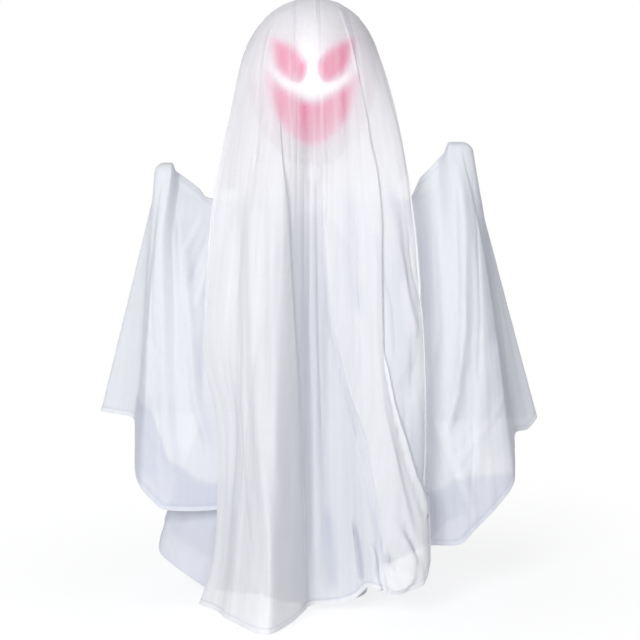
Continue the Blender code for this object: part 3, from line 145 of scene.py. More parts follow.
# Hem of the veil: direction in degrees from the front, sideways, forwards and height, shares of its reach
veil_hem = [
    (-100, -0.56, -0.52, 0.03), (-80, -0.63, 0.36, 0.012), (-66, -0.70, 0.41, 0.008), (-50, -0.565, 0.60, 0.006),
    (-32, -0.42, 0.82, 0.004), (-17, -0.25, 1.02, 0.0), (-9, -0.12, 0.84, 0.012), (-2, -0.03, 0.62, 0.033),
    (8, 0.08, 0.57, 0.042), (17, 0.18, 0.58, 0.06), (24, 0.26, 0.62, 0.10), (30, 0.32, 0.68, 0.17),
    (36, 0.385, 0.72, 0.165), (43, 0.46, 0.74, 0.15), (50, 0.54, 0.72, 0.17), (57, 0.62, 0.68, 0.20),
    (68, 0.67, 0.60, 0.30), (80, 0.65, 0.52, 0.42), (100, 0.58, -0.54, 0.06), (125, 0.50, -0.66, 0.03),
    (150, 0.34, -0.82, 0.02), (180, 0.0, -0.86, 0.02), (210, -0.36, -0.82, 0.02), (235, -0.52, -0.65, 0.025),
    (260, -0.55, -0.52, 0.03),
]
# Pleats on the veil's front, as lines (sideways, height) in the front view: half width and lap in
# degrees round the figure, drop in mm of the side that lies behind, that side: 1 for the right one, and
# the share of the fall at which the pleat starts
veil_pleats = [
    ([(-52, 790), (-47, 751), (-44, 670), (-40, 611), (-36, 509), (-32, 446), (-25, 348), (-19, 261), (-15, 150),
      (-13, 0)], 2.6, 6.0, 15.0, 1, 0.08),
    ([(16, 650), (21, 553), (30, 436), (56, 319), (82, 232), (92, 169), (103, 120), (110, 0)],
     2.6, 6.0, 14.0, -1, 0.22),
    ([(40, 905), (57, 849), (72, 776), (81, 723), (90, 643), (98, 560), (100, 464), (102, 369), (115, 296),
      (131, 239), (148, 179), (161, 135), (170, 60), (172, 0)], 2.2, 5.0, 13.0, 1, 0.02),
]
# Creases and ridges on the veil's front: half width, height (below 0 a narrow crease), line in the front view
veil_lines = [
    (2.4, -5.0, [(-43, 670), (-37, 611), (-33, 509), (-29, 446), (-22, 348), (-16, 261), (-12, 150), (-10, 0)]),
    (2.4, -5.0, [(18, 553), (27, 436), (53, 319), (79, 232), (89, 169), (100, 120), (107, 0)]),
    (2.2, -3.0, [(42, 905), (59, 849), (74, 776), (83, 723), (93, 643)]),
    (2.4, 2.6, [(37, 905), (54, 849), (69, 776)]), (1.8, 1.8, [(-32, 905), (-33, 850), (-31, 800)]),
    (1.8, 1.5, [(4, 905), (6, 850), (8, 800)]), (2.0, 1.6, [(-52, 890), (-64, 850), (-74, 800)]),
    (2.4, -5.0, [(93, 643), (101, 560), (103, 464), (105, 369), (118, 296), (134, 239), (151, 179), (164, 135)]),
    (2.2, -2.2, [(-27, 905), (-28, 850), (-26, 812)]), (2.2, -2.0, [(8, 905), (10, 850), (12, 800), (10, 700)]),
    (2.0, -1.4, [(22, 890), (26, 830), (27, 740)]), (2.6, -2.0, [(-66, 860), (-76, 800), (-80, 720), (-84, 640)]),
    (2.0, -1.8, [(-22, 800), (-22, 720), (-24, 640), (-26, 520), (-24, 400)]),
    (2.0, -1.6, [(-32, 760), (-33, 690), (-33, 600), (-34, 540)]),
    (2.0, -1.8, [(-12, 690), (-13, 600), (-14, 480), (-13, 330), (-8, 200)]),
    (2.2, -1.8, [(-3, 700), (-4, 560), (-5, 420), (-1, 300)]),
    (2.2, -1.8, [(6, 690), (7, 560), (9, 400), (16, 240)]),
    (2.0, -1.4, [(15, 690), (16, 600), (18, 500)]), (6.0, 3.0, [(1, 700), (2, 480), (6, 300), (10, 60)]),
    (11.0, 8.0, [(-88, 640), (-84, 560), (-79, 320), (-55, 130), (-50, 0)]),
    (8.0, 4.0, [(-58, 700), (-56, 500), (-52, 300), (-38, 100)]),
    (9.0, -6.0, [(-106, 620), (-112, 480), (-112, 300), (-100, 120)]),
    (2.0, -2.0, [(-104, 470), (-106, 330), (-98, 190), (-80, 90)]),
    (10.0, 4.0, [(44, 700), (48, 560), (58, 430), (88, 300), (116, 180), (134, 60)]),
    (7.0, 6.0, [(80, 640), (86, 540), (88, 400), (100, 300), (124, 200), (146, 100)]),
    (2.0, -2.2, [(62, 620), (66, 520), (68, 430)]), (2.2, -2.0, [(70, 380), (80, 300), (104, 220)]),
    (7.0, 6.0, [(118, 620), (124, 540), (134, 470), (150, 400)]),
    (2.6, -3.2, [(102, 548), (113, 493), (121, 460), (125, 405), (124, 380)]),
    (7.0, 4.0, [(118, 560), (130, 480), (136, 400), (134, 340)]), (9.0, -3.5, [(132, 380), (142, 320), (152, 380)]),
    (2.2, -2.6, [(140, 560), (146, 500), (160, 450)]), (2.4, -2.4, [(138, 330), (142, 250), (156, 190)]),
    (3.4, -9.0, [(60, 150), (66, 118), (70, 84), (74, 50)]), (8.0, 9.0, [(84, 120), (90, 60), (96, 0)]),
    (6.0, 7.0, [(84, 56), (104, 48), (126, 52), (146, 76)]), (4.0, -9.0, [(98, 92), (112, 72), (128, 80)]),
    (3.4, -7.0, [(104, 120), (116, 96), (112, 72)]), (6.0, 6.0, [(112, 140), (132, 110), (146, 80)]),
    (3.0, -5.0, [(128, 150), (138, 120), (150, 96)]), (4.0, -4.0, [(84, 120), (96, 104), (104, 84)]),
]
# Painted shade on the veil, where it is a single layer before its hollow inside and less light comes back, and
# along its dark creases: half width, share, line
veil_shades = [
    (1.8, 0.7, [(-26, 905), (-27, 850), (-25, 812), (-25, 790)]), (1.8, 0.5, [(9, 905), (11, 850), (12, 800)]),
    (2.0, 0.8, [(44, 908), (60, 850), (70, 800)]), (2.4, 0.35, [(-64, 870), (-73, 820), (-76, 760)]),
    (10.0, 0.28, [(0, 640), (2, 480), (6, 330), (12, 220), (18, 140), (22, 40)]),
    (8.0, 0.4, [(20, 170), (26, 120), (30, 70), (30, 40)]), (3.2, 1.3, [(60, 140), (66, 112), (70, 84), (72, 56)]),
    (4.0, 0.25, [(-14, 660), (-12, 500), (-8, 330), (-4, 200), (-2, 60)]),
    (5.0, 0.75, [(104, 104), (112, 84), (122, 80)]), (4.0, 0.3, [(86, 170), (96, 120), (100, 96)]),
    (9.0, 0.4, [(118, 640), (126, 560), (136, 480)]), (14.0, 0.3, [(112, 560), (128, 420), (140, 320)]),
    (9.0, 0.3, [(48, 660), (56, 560), (60, 500), (70, 430)]),
]
# Soft folds round the veil's sides and back: line as (share of the fall, degrees), half width, height
veil_folds = [
    ([(0, 120), (1, 118)], 10, 8.0 * MM), ([(0, 145), (1, 145)], 10, -8.0 * MM),
    ([(0, 170), (1, 172)], 10, 9.0 * MM), ([(0, 195), (1, 194)], 10, -7.0 * MM),
    ([(0, 220), (1, 222)], 10, 10.0 * MM), ([(0, 242), (1, 242)], 9, -5.0 * MM),
]
# Bands of the veil over the face, sideways place, half width and how much denser they are
face_bands = [
    (-62, 7, 0.1), (-46, 6, -0.04), (-33, 3, 0.14), (-24, 4, 0.1), (-12, 5, -0.16), (2, 8, 0.08), (14, 3, 0.12),
    (24, 6, -0.02), (35, 4, 0.1), (46, 5, -0.14), (60, 6, 0.12),
]
# Hem of each sleeve from its inner front corner round the hand to its inner back corner: place along it,
# outwards and forwards as shares of its reach and depth, height as a share of the shoulder's
sleeve_hem = {
    -1: [
        (-1.0, 0.20, 0.98, 0.265), (-0.75, 0.42, 1.0, 0.245), (-0.5, 0.66, 1.0, 0.245),
        (-0.42, 0.72, 0.95, 0.268), (-0.34, 0.77, 0.9, 0.298), (-0.2, 0.805, 0.6, 0.335),
        (-0.08, 0.815, 0.25, 0.42), (0.0, 0.83, 0.05, 0.452), (0.06, 0.90, -0.1, 0.457),
        (0.12, 0.99, -0.25, 0.462), (0.3, 0.85, -0.7, 0.455), (0.6, 0.55, -0.95, 0.44),
        (1.0, 0.20, -0.98, 0.42),
    ],
    1: [
        (-1.0, 0.20, 0.98, 0.17), (-0.8, 0.40, 1.0, 0.158), (-0.66, 0.55, 1.0, 0.155), (-0.56, 0.66, 1.0, 0.158),
        (-0.48, 0.73, 0.98, 0.195), (-0.39, 0.82, 0.92, 0.245), (-0.29, 0.90, 0.8, 0.30), (-0.2, 0.915, 0.6, 0.345),
        (-0.11, 0.92, 0.4, 0.385), (-0.02, 0.935, 0.1, 0.415), (0.05, 1.0, -0.1, 0.42), (0.12, 1.045, -0.25, 0.45),
        (0.3, 0.90, -0.7, 0.43), (0.6, 0.58, -0.95, 0.42), (1.0, 0.20, -0.98, 0.40),
    ],
}
# Creases and ridges on the front of the sleeves, as on the veil, sideways from the middle outwards
sleeve_lines = {
    -1: [
        (2.2, -3.0, [(230, 620), (238, 560), (240, 430), (232, 300), (222, 190)]),
        (2.4, -1.8, [(214, 600), (210, 540), (206, 430), (206, 330), (200, 230)]),
        (9.0, 5.0, [(222, 640), (224, 540), (222, 400), (216, 260), (206, 170)]),
        (2.4, -1.6, [(206, 600), (202, 560), (198, 480), (194, 400), (180, 300), (156, 210)]),
        (8.0, 6.0, [(192, 560), (184, 440), (176, 320), (150, 220)]),
        (12.0, -7.0, [(262, 520), (268, 400), (262, 260)]), (6.0, 3.0, [(282, 400), (290, 320)]),
        (5.0, 3.0, [(160, 590), (176, 560), (196, 520)]), (5.0, -3.0, [(150, 570), (170, 520), (186, 470)]),
        (5.0, 3.5, [(140, 540), (158, 500), (176, 440)]), (4.0, -2.5, [(150, 470), (164, 400), (164, 320)]),
    ],
    1: [
        (2.4, -4.5, [(208, 700), (214, 600), (216, 480), (214, 380), (200, 300), (184, 250)]),
        (9.0, 9.0, [(216, 700), (226, 560), (226, 420), (214, 320), (196, 250)]),
        (2.2, -3.0, [(236, 690), (246, 560), (250, 430), (246, 330)]),
        (12.0, -6.0, [(262, 600), (274, 480), (284, 380)]), (14.0, 3.5, [(256, 360), (252, 290), (246, 220)]),
        (2.4, -3.6, [(244, 690), (268, 560), (292, 420), (306, 260)]), (6.0, 4.0, [(296, 560), (316, 420)]),
        (7.0, 5.0, [(176, 620), (182, 520), (186, 420), (176, 330)]),
        (3.0, -3.0, [(160, 600), (166, 500), (172, 400)]),
        (2.4, -1.2, [(170, 330), (186, 250), (200, 190)]), (8.0, 2.0, [(206, 240), (226, 190), (240, 150)]),
        (3.0, -1.4, [(236, 300), (240, 240), (236, 170)]),
    ],
}
# Painted shade where a sleeve hangs alone, as on the veil
sleeve_shades = {
    -1: [
        (18.0, 0.12, [(250, 560), (266, 430), (286, 280), (300, 200)]),
        (12.0, 0.3, [(196, 590), (190, 540), (176, 470)]),
        (14.0, 0.45, [(242, 330), (250, 260), (246, 190)]),
        (10.0, 0.3, [(170, 420), (168, 330), (160, 240)]), (9.0, 0.35, [(214, 330), (208, 250), (200, 190)]),
    ],
    1: [
        (14.0, 0.42, [(246, 650), (256, 600), (264, 500), (272, 410), (292, 308), (296, 190)]),
        (10.0, 0.3, [(166, 600), (172, 500), (176, 420)]),
        (8.0, 0.3, [(214, 420), (222, 300), (230, 180)]),
    ],
}
# Down to what height a sleeve's front has more cloth behind it; below it the front gets painted shade: sideways,
# height
sleeve_shade_line = {
    -1: [(0, 196), (150, 192), (170, 198), (215, 230), (240, 300), (300, 330)],
    1: [(0, 170), (147, 178), (182, 181), (200, 190), (215, 200), (236, 203), (300, 206)],
}
# Upper edge of each sleeve between the hand and the shoulder, where it is pulled straight: sideways, height
sleeve_tops = {
    -1: [(130, 606), (150, 609), (164, 612), (171, 624), (186, 636), (202, 648), (216, 659)],
    1: [(146, 606), (152, 616), (163, 641), (178, 656), (190, 670), (205, 686), (219, 695)],
}
# Soft folds on the back of the sleeves: line as (share of the fall, place along the hem), half width, height
sleeve_folds = [
    ([(0, 0.22), (1, 0.26)], 0.08, 6.0 * MM), ([(0, 0.45), (1, 0.5)], 0.08, -7.0 * MM),
    ([(0, 0.72), (1, 0.75)], 0.08, 7.0 * MM),
]
# Hem of the robe: direction in degrees from the front, sideways, forwards and height shares
robe_hem = [
    (-90, -0.98, 0.05, 0.46), (-76, -0.96, 0.34, 0.30), (-65, -0.87, 0.56, 0.22), (-50, -0.73, 0.80, 0.11),
    (-40, -0.62, 0.94, 0.09), (0, 0.0, 1.0, 0.04), (18, 0.28, 1.0, 0.065), (27, 0.41, 0.98, 0.17),
    (35, 0.52, 0.95, 0.42), (43, 0.61, 0.88, 0.58), (56, 0.78, 0.72, 0.60), (70, 0.91, 0.45, 0.58),
    (90, 0.96, 0.05, 0.50), (120, 0.82, -0.62, 0.30), (150, 0.48, -0.92, 0.06), (180, 0.0, -0.98, 0.04),
    (215, -0.56, -0.92, 0.05), (245, -0.86, -0.6, 0.25), (270, -0.98, 0.05, 0.46),
]


# Camera, light and floor


def placed(name, data):
    """An object in the scene from its mesh, lamp or camera."""
    thing = bpy.data.objects.new(name, data)
    bpy.context.scene.collection.objects.link(thing)
    return thing


def set_stage():
    """The camera, the studio lamps, the plain floor and the white surroundings."""
    scene = bpy.context.scene
    scene.view_settings.view_transform = "Standard"
    scene.cycles.transparent_max_bounces = 24
    lens = bpy.data.cameras.new("camera")
    lens.lens = camera_lens
    lens.sensor_width = film_width
    camera = placed("camera", lens)
    camera.location = camera_place
    camera.rotation_euler = (math.radians(90 - camera_tilt), 0, 0)
    scene.camera = camera
    lamps = (
        ("key", (-1.25, -3.6, 1.7), 1.3, 100.0), ("fill", (0.3, -3.4, 0.3), 1.6, 18.0),
        ("back", (0.6, 2.2, 1.9), 1.6, 4.0),
    )
    for name, at, size, power in lamps:
        lamp = bpy.data.lights.new(name, "AREA")
        lamp.size = size
        lamp.energy = power
        thing = placed(name, lamp)
        thing.location = at
        thing.rotation_mode = "QUATERNION"
        thing.rotation_quaternion = (Vector(lamp_aim) - Vector(at)).to_track_quat("-Z", "Y")

    world = bpy.data.worlds.new("studio")
    scene.world = world
    world.use_nodes = True
    tree = world.node_tree
    tree.nodes.clear()
    start = Signal(tree)
    seen = seen_straight(start)
    colour = seen.mixed((0.975, 0.985, 1.0), (1.0, 1.0, 1.0))
    glow = start.node("Background", {}, {"Color": colour, "Strength": (1 - seen) * 0.36 + seen})
    tree.links.new(glow.socket, start.node("OutputWorld").node_of().inputs["Surface"])

    bpy.ops.mesh.primitive_plane_add(size=floor_side, location=(0, 0, -floor_drop))
    floor = bpy.context.object
    floor.name = "floor"
    material = bpy.data.materials.new("floor_paint")
    material.use_nodes = True
    tree = material.node_tree
    tree.nodes.clear()
    start = Signal(tree)
    paint = start.node("BsdfDiffuse", {}, {"Color": (0.86, 0.87, 0.88, 1)})
    here = start.place()
    away = here.node("VectorMath", {"operation": "LENGTH"}, {0: here}, "Value")
    far = (away - 0.35).maths("MULTIPLY", 1.2, clamped=True)
    shine = start.node("Emission", {}, {"Color": (1, 1, 1, 1), "Strength": 1.25 - far * 0.25})
    both = start.node("MixShader", {}, {0: seen_straight(start) * (0.6 + far * 0.4), 1: paint, 2: shine})
    tree.links.new(both.socket, start.node("OutputMaterial").node_of().inputs["Surface"])
    floor.data.materials.append(material)


class Signal:
    """One output of a material's nodes; sums with it add Math nodes to the same material."""

    def __init__(self, tree, socket=None):
        self.tree = tree
        self.socket = socket

    def node_of(self):
        return self.socket if isinstance(self.socket, bpy.types.Node) else self.socket.node

    def node(self, kind, settings=None, sockets=None, output=0):
        """Adds a node: its settings come first, then the values or signals of its sockets."""
        made = self.tree.nodes.new("ShaderNode" + kind)
        for key, value in (settings or {}).items():
            if key == "stops":
                stops = made.color_ramp.elements
                while len(stops) < len(value):
                    stops.new(0.5)
                for stop, (place, colour) in zip(stops, value):
                    stop.position = place
                    stop.color = (*colour, 1.0)
            else:
                setattr(made, key, value)
        for key, value in (sockets or {}).items():
            if isinstance(value, Signal):
                self.tree.links.new(value.socket, made.inputs[key])
            else:
                made.inputs[key].default_value = value
        return Signal(self.tree, made.outputs[output] if made.outputs else made)

    def maths(self, operation, other=0.0, other_first=False, clamped=False):
        first, second = (other, self) if other_first else (self, other)
        return self.node("Math", {"operation": operation, "use_clamp": clamped}, {0: first, 1: second})

    def __add__(self, other):
        return self.maths("ADD", other)

    def __sub__(self, other):
        return self.maths("SUBTRACT", other)

    def __rsub__(self, other):
        return self.maths("SUBTRACT", other, True)

    def __mul__(self, other):
        return self.maths("MULTIPLY", other)

    def __truediv__(self, other):
        return self.maths("DIVIDE", other)

    def __rtruediv__(self, other):
        return self.maths("DIVIDE", other, True)

    __radd__ = __add__
    __rmul__ = __mul__

    def mixed(self, low, high):
        """The colour that lies between two colours by this share."""
        low, high = ((*c, 1.0) if isinstance(c, tuple) and len(c) == 3 else c for c in (low, high))
        return self.node("Mix", {"data_type": "RGBA"}, {0: self, 6: low, 7: high}, 2)

    def clamped(self):
        """The signal kept between 0 and 1."""
        return self.maths("ADD", 0.0, clamped=True)

    def place(self):
        """The point on the piece in metres."""
        return self.node("TexCoord", {}, {}, "Object")

    def stored(self, name):
        """The number that each vertex holds under a name."""
        return self.node("Attribute", {"attribute_name": name}, {}, "Fac")

    def noise(self, where, scale, detail=3.0):
        return self.node("TexNoise", {}, {"Vector": where, "Scale": scale, "Detail": detail})

    def scaled(self, factors):
        return self.node("VectorMath", {"operation": "MULTIPLY"}, {0: self, 1: factors})

    def part(self, axis):
        return self.node("SeparateXYZ", {}, {0: self}, axis)


def seen_straight(start):
    """1 where the camera, a mirror or a glass looks at the background, or else 0."""
    paths = [start.node("LightPath", {}, {}, name) for name in
             ("Is Camera Ray", "Is Glossy Ray", "Is Transmission Ray")]
    return paths[0].maths("MAXIMUM", paths[1]).maths("MAXIMUM", paths[2])


# Materials


def begin(name):
    """A new material, its Principled shader and a signal to start from."""
    material = bpy.data.materials.new(name)
    material.use_nodes = True
    shader = material.node_tree.nodes["Principled BSDF"]
    return material, shader, Signal(material.node_tree)


def feed(shader, signals):
    """Links signals to the shader's sockets."""
    for key, value in signals.items():
        value.tree.links.new(value.socket, shader.inputs[key])


def fix(shader, values):
    """Sets the shader's own sockets."""
    for key, value in values.items():
        shader.inputs[key].default_value = value


def bumped(start, height, depth, strength=0.4):
    """The surface's normal with a fine relief."""
    return start.node("Bump", {}, {"Height": height, "Distance": depth, "Strength": strength})


def moulded(name, colour, rough, mottle=0.05, grain=900.0, coat=0.0):
    """Moulded plastic: fine spark-eroded grain, faint flow marks and rubbed patches."""
    material, shader, start = begin(name)
    here = start.place()
    flow = start.noise(here, 28.0, 4.0)
    rub = start.noise(here, 75.0, 5.0)
    fine = start.noise(here, grain, 2.0)
    pale = tuple(min(c * (1 + mottle), 1.0) for c in colour)
    deep = tuple(c * (1 - mottle * 1.6) for c in colour)
    feed(shader, {
        "Base Color": flow.mixed(deep, pale),
        "Roughness": (rub * 0.22 + fine * 0.1 + (rough - 0.16)).clamped(),
        "Normal": bumped(start, fine + flow * 0.4, 0.06 * MM),
    })
    fix(shader, {"Coat Weight": coat, "IOR": 1.49})
    return material


def brushed(name, colour, rough, stretch):
    """Bare metal: drawn or turned marks along one way, dulled patches and small spots."""
    material, shader, start = begin(name)
    here = start.place()
    marks = start.noise(here.scaled(stretch), 60.0, 4.0)
    patch = start.noise(here, 40.0, 5.0)
    spots = (start.noise(here, 380.0, 2.0) - 0.66).maths("MULTIPLY", 6.0, clamped=True)
    feed(shader, {
        "Base Color": (patch * 0.7 + spots * 0.3).mixed(colour, tuple(c * 0.72 for c in colour)),
        "Roughness": (marks * 0.2 + patch * 0.12 + (rough - 0.12)).clamped(),
        "Normal": bumped(start, marks, 0.03 * MM, 0.35),
    })
    fix(shader, {"Metallic": 1.0})
    return material


def board_finish():
    """Circuit board: green mask over darker copper tracks, with tinned pads."""
    material, shader, start = begin("board")
    here = start.place()
    tracks = start.node(
        "TexBrick", {"offset": 0.37}, {
            "Vector": here, "Scale": 210.0, "Mortar Size": 0.09, "Mortar Smooth": 0.1, "Bias": 0.0,
        }, "Fac",
    )
    pads = start.node("TexVoronoi", {}, {"Vector": here, "Scale": 230.0, "Randomness": 0.8}, "Distance")
    tin = (0.22 - pads).maths("MULTIPLY", 30.0, clamped=True)
    mask = tracks.mixed((0.02, 0.16, 0.06), (0.035, 0.27, 0.11))
    feed(shader, {
        "Base Color": tin.mixed(mask, (0.72, 0.72, 0.7)),
        "Metallic": tin * 0.9,
        "Roughness": 0.36 + start.noise(here, 300.0) * 0.12 - tin * 0.1,
        "Normal": bumped(start, tracks + tin, 0.05 * MM),
    })
    return material


def cell_finish():
    """Plain printed cell sleeve with a coloured shoulder and bare steel ends."""
    material, shader, start = begin("cell_wrap")
    here = start.place()
    along = here.part(0) * 1000.0
    shoulder = (along - 9.5).maths("MULTIPLY", 4.0, clamped=True)
    bare = (along.maths("ABSOLUTE") - 24.4).maths("MULTIPLY", 3.0, clamped=True)
    scuff = start.noise(here.scaled((0.3, 1.0, 1.0)), 160.0, 4.0)
    wrap = shoulder.mixed((0.03, 0.035, 0.045), (0.55, 0.33, 0.1))
    feed(shader, {
        "Base Color": bare.mixed(wrap, (0.66, 0.66, 0.64)),
        "Metallic": bare,
        "Roughness": 0.2 + scuff * 0.25,
        "Normal": bumped(start, scuff, 0.02 * MM, 0.3),
    })
    return material


def braid_finish():
    """Braided cord: crossed strands, slightly fuzzy."""
    material, shader, start = begin("braid")
    here = start.place()
    flat = here.node("VectorMath", {"operation": "DOT_PRODUCT"}, {0: here, 1: (900.0, 900.0, 900.0)}, "Value")
    other = here.node("VectorMath", {"operation": "DOT_PRODUCT"}, {0: here, 1: (900.0, -900.0, 900.0)}, "Value")
    strands = (flat * 5.0).maths("SINE") * (other * 5.0).maths("SINE")
    soiled = start.noise(here, 60.0)
    feed(shader, {
        "Base Color": (strands * 0.3 + soiled * 0.6).clamped().mixed(
            (0.66, 0.66, 0.63), (0.88, 0.88, 0.86)),
        "Roughness": 0.8 + soiled * 0.1,
        "Normal": bumped(start, strands, 0.1 * MM, 0.6),
    })
    return material


def wire_finish():
    """Soft covered wire: matt sleeve with faint ribs."""
    material, shader, start = begin("covered_wire")
    here = start.place()
    ribs = (here.part(0) * 2400.0).maths("SINE")
    soft = start.noise(here, 120.0)
    feed(shader, {
        "Base Color": soft.mixed((0.8, 0.8, 0.79), (0.9, 0.9, 0.89)),
        "Roughness": 0.55 + soft * 0.15,
        "Normal": bumped(start, ribs * 0.5 + soft, 0.08 * MM),
    })
    return material


def lens_finish():
    """Dark polished sensor lens with a faint ring pattern."""
    material, shader, start = begin("sensor_lens")
    here = start.place()
    cells = start.node("TexVoronoi", {}, {"Vector": here, "Scale": 900.0, "Randomness": 0.2}, "Distance")
    feed(shader, {
        "Base Color": cells.mixed((0.012, 0.008, 0.012), (0.035, 0.02, 0.03)),
        "Roughness": 0.08 + start.noise(here, 200.0) * 0.08,
        "Normal": bumped(start, cells, 0.08 * MM, 0.3),
    })
    fix(shader, {"Coat Weight": 0.6, "IOR": 1.5})
    return material


def dome_finish():
    """Lamp dome: clear cap over a lit core."""
    material, shader, start = begin("lamp_cap")
    here = start.place()
    haze = start.noise(here, 700.0)
    feed(shader, {
        "Base Color": haze.mixed((0.9, 0.9, 0.86), (0.97, 0.97, 0.93)),
        "Roughness": 0.1 + haze * 0.1,
        "Emission Color": haze.mixed((0.9, 0.9, 1.0), (1.0, 1.0, 1.0)),
    })
    fix(shader, {"Emission Strength": 3.0, "IOR": 1.5})
    return material


def shell_finish():
    """Milky head shell lit from inside: brightest behind the face, with pink light round the pink pieces."""
    material, shader, start = begin("lit_shell")
    here = start.place()
    spots = []
    for spot, spread in ((glow_spot, glow_spread), (brow_spot, brow_spread)):
        across = (here.part(0) - spot[0]) / spread[0]
        up = (here.part(2) - spot[1]) / spread[1]
        spots.append(((across * across + up * up) * -1.0).maths("EXPONENT"))
    ahead = (here.part(1) * -14.0 + 0.2).clamped()
    cloud = start.noise(here, 30.0)
    glow = (spots[0] + spots[1] * 0.2) * ahead
    bleed = start.stored("bleed")
    white = (glow * (0.94 + cloud * 0.12)).mixed((0.1, 0.085, 0.095), (1.0, 0.985, 0.99))
    tinted = cloud.mixed((0.65, 0.64, 0.655), (0.7, 0.69, 0.705))
    feed(shader, {
        "Base Color": bleed.mixed(tinted, (0.58, 0.36, 0.43)),
        "Roughness": 0.34 + start.noise(here, 400.0) * 0.12,
        "Emission Color": bleed.mixed(white, (0.32, 0.17, 0.225)),
        "Normal": bumped(start, start.noise(here, 600.0), 0.03 * MM),
    })
    fix(shader, {"Emission Strength": 0.72})
    return material


def pink_finish():
    """Milky pink piece lit from inside, deepest in its middle."""
    material, shader, start = begin("lit_pink")
    here = start.place()
    inner = start.stored("inner")
    cloud = start.noise(here, 45.0)
    # Paler towards the edge: a painted spread of the shell's glow.
    deep = (inner * 0.9 + cloud * 0.2 - 0.08).clamped()
    feed(shader, {
        "Base Color": deep.mixed((0.56, 0.36, 0.44), (0.52, 0.08, 0.19)),
        "Roughness": 0.3 + cloud * 0.12,
        "Emission Color": deep.mixed((0.44, 0.23, 0.31), (0.46, 0.04, 0.16)),
        "Normal": bumped(start, start.noise(here, 500.0), 0.04 * MM),
    })
    fix(shader, {"Emission Strength": 0.55})
    return material


def cloth_finish(name, pale, deep, through):
    """Sheer woven cloth: crossed threads, slubs along them, a denser hem, light that comes through, and painted
    shade.
    """
    material, shader, start = begin(name)
    tree = material.node_tree
    flat = start.node("UVMap")
    cover = start.stored("cover")
    single = start.stored("single")
    thread = math.tau / thread_pitch
    weave = (flat.part(0) * thread).maths("SINE") * (flat.part(1) * thread).maths("SINE")
    down = start.noise(flat.scaled((1.0, 0.03, 1.0)), 420.0, 4.0)
    across = start.noise(flat.scaled((0.04, 1.0, 1.0)), 500.0, 3.0)
    # The crumple noise shapes the relief and also darkens the colour in its hollows: painted shade.
    crush = start.noise(flat, 26.0, 5.0)
    slub = down * 0.65 + across * 0.35
    density = (cover + (slub - 0.5) * 0.12 + weave * 0.02).clamped()
    feed(shader, {
        # Painted shade: where the sheet stores it, the colour turns bluish grey; the hem's stitch line is stored
        # with it.
        "Base Color": single.mixed((slub * 0.12 + crush * 0.88).mixed(deep, pale), (0.62, 0.635, 0.745)),
        "Roughness": 0.6 + slub * 0.2,
        "Normal": bumped(start, weave * 0.06 + slub * 0.2 + crush * 1.5, 0.5 * MM, 0.3),
    })
    fix(shader, {"Sheen Weight": 0.05, "Sheen Roughness": 0.5, "IOR": 1.35})
    lit = start.node("BsdfTranslucent", {}, {"Color": (*through, 1)})
    body = start.node("MixShader", {}, {0: 0.28, 1: Signal(tree, shader.outputs[0]), 2: lit})
    clear = start.node("BsdfTransparent")
    whole = start.node("MixShader", {}, {0: density, 1: clear, 2: body})
    tree.links.new(whole.socket, tree.nodes["Material Output"].inputs["Surface"])
    return material


# Mesh building


def ease(t):
    """A smooth step from 0 to 1, of a number or an array."""
    t = np.clip(t, 0.0, 1.0)
    return t * t * (3 - 2 * t)


def hung(near, run):
    """How far hanging cloth has swung out by a share of its run: quickly at first, then straight down."""
    return (1 - np.exp(-run / near)) / (1 - math.exp(-1 / near))


def from_table(table, keys):
    """Rows of a table at many keys, smoothly between its own rows, without the key."""
    table = np.array(table, float)
    keys = np.clip(np.asarray(keys, float), table[0, 0], table[-1, 0])
    k = np.clip(np.searchsorted(table[:, 0], keys, side="right") - 1, 0, len(table) - 2)
    here, on = table[k], table[k + 1]
    back, past = table[np.maximum(k - 1, 0)], table[np.minimum(k + 2, len(table) - 1)]
    width = on[:, :1] - here[:, :1]
    t = (keys[:, None] - here[:, :1]) / width
    rise_here = (on - back) / (on[:, :1] - back[:, :1]) * width
    rise_on = (past - here) / (past[:, :1] - here[:, :1]) * width
    whole = (
        (2 * t ** 3 - 3 * t ** 2 + 1) * here + (t ** 3 - 2 * t ** 2 + t) * rise_here
        + (3 * t ** 2 - 2 * t ** 3) * on + (t ** 3 - t ** 2) * rise_on
    )
    return whole[:, 1:]


def lapped(places, sideways, height, share, pleats):
    """Laps a sheet over itself along its pleats: the new places along it, and how far each point drops back."""
    shifted, depth = places.copy(), np.zeros(len(places))
    for line, half_width, lap, drop, side, start in pleats:
        line = sorted(line, key=lambda mark: mark[1])
        across = np.interp(height, [z * MM for _, z in line], [x * MM for x, _ in line])
        middle = np.interp(across, sideways, places[: len(sideways)])
        grown = float(ease((share - start) / 0.22))
        away = (places - middle) / half_width
        shifted -= lap * grown * away * np.exp(-away ** 2 / 2)
        behind = np.maximum(side * away, 0)
        depth -= drop * MM * grown * 0.5 * (1 + np.tanh(2.5 * side * away)) * np.exp(-(behind / 6) ** 2)
    return shifted, depth


def beside(points, a, b):
    """How far along a straight stretch each point lies, as a share, and how far from it."""
    way = b - a
    t = np.clip((points - a) @ way / max(way @ way, 1e-12), 0, 1)
    return t, np.linalg.norm(points - (a + t[:, None] * way), axis=1)


def along(across, heights, lines):
    """Sum of a table's lines at a sheet's points in the front view: creases, ridges or shades."""
    points = np.stack([across, heights], axis=1)
    total = np.zeros(len(points))
    for half_width, high, line in lines:
        near, done = np.full(len(points), 1.0), np.zeros(len(points))
        for k, (a, b) in enumerate(zip(np.array(line) * MM, np.array(line[1:]) * MM)):
            t, apart = beside(points, a, b)
            done = np.where(apart < near, (k + t) / (len(line) - 1), done)
            near = np.minimum(near, apart)
        near /= half_width * MM
        faded = ease(done / 0.25 + (line[0][1] > 880)) * ease((1 - done) / 0.15 + 0.4 * (line[-1][1] < 70))
        total += high * faded * (np.exp(-near ** 2) if high > 0 or half_width > 4 else np.exp(-near ** 1.2))
    return total


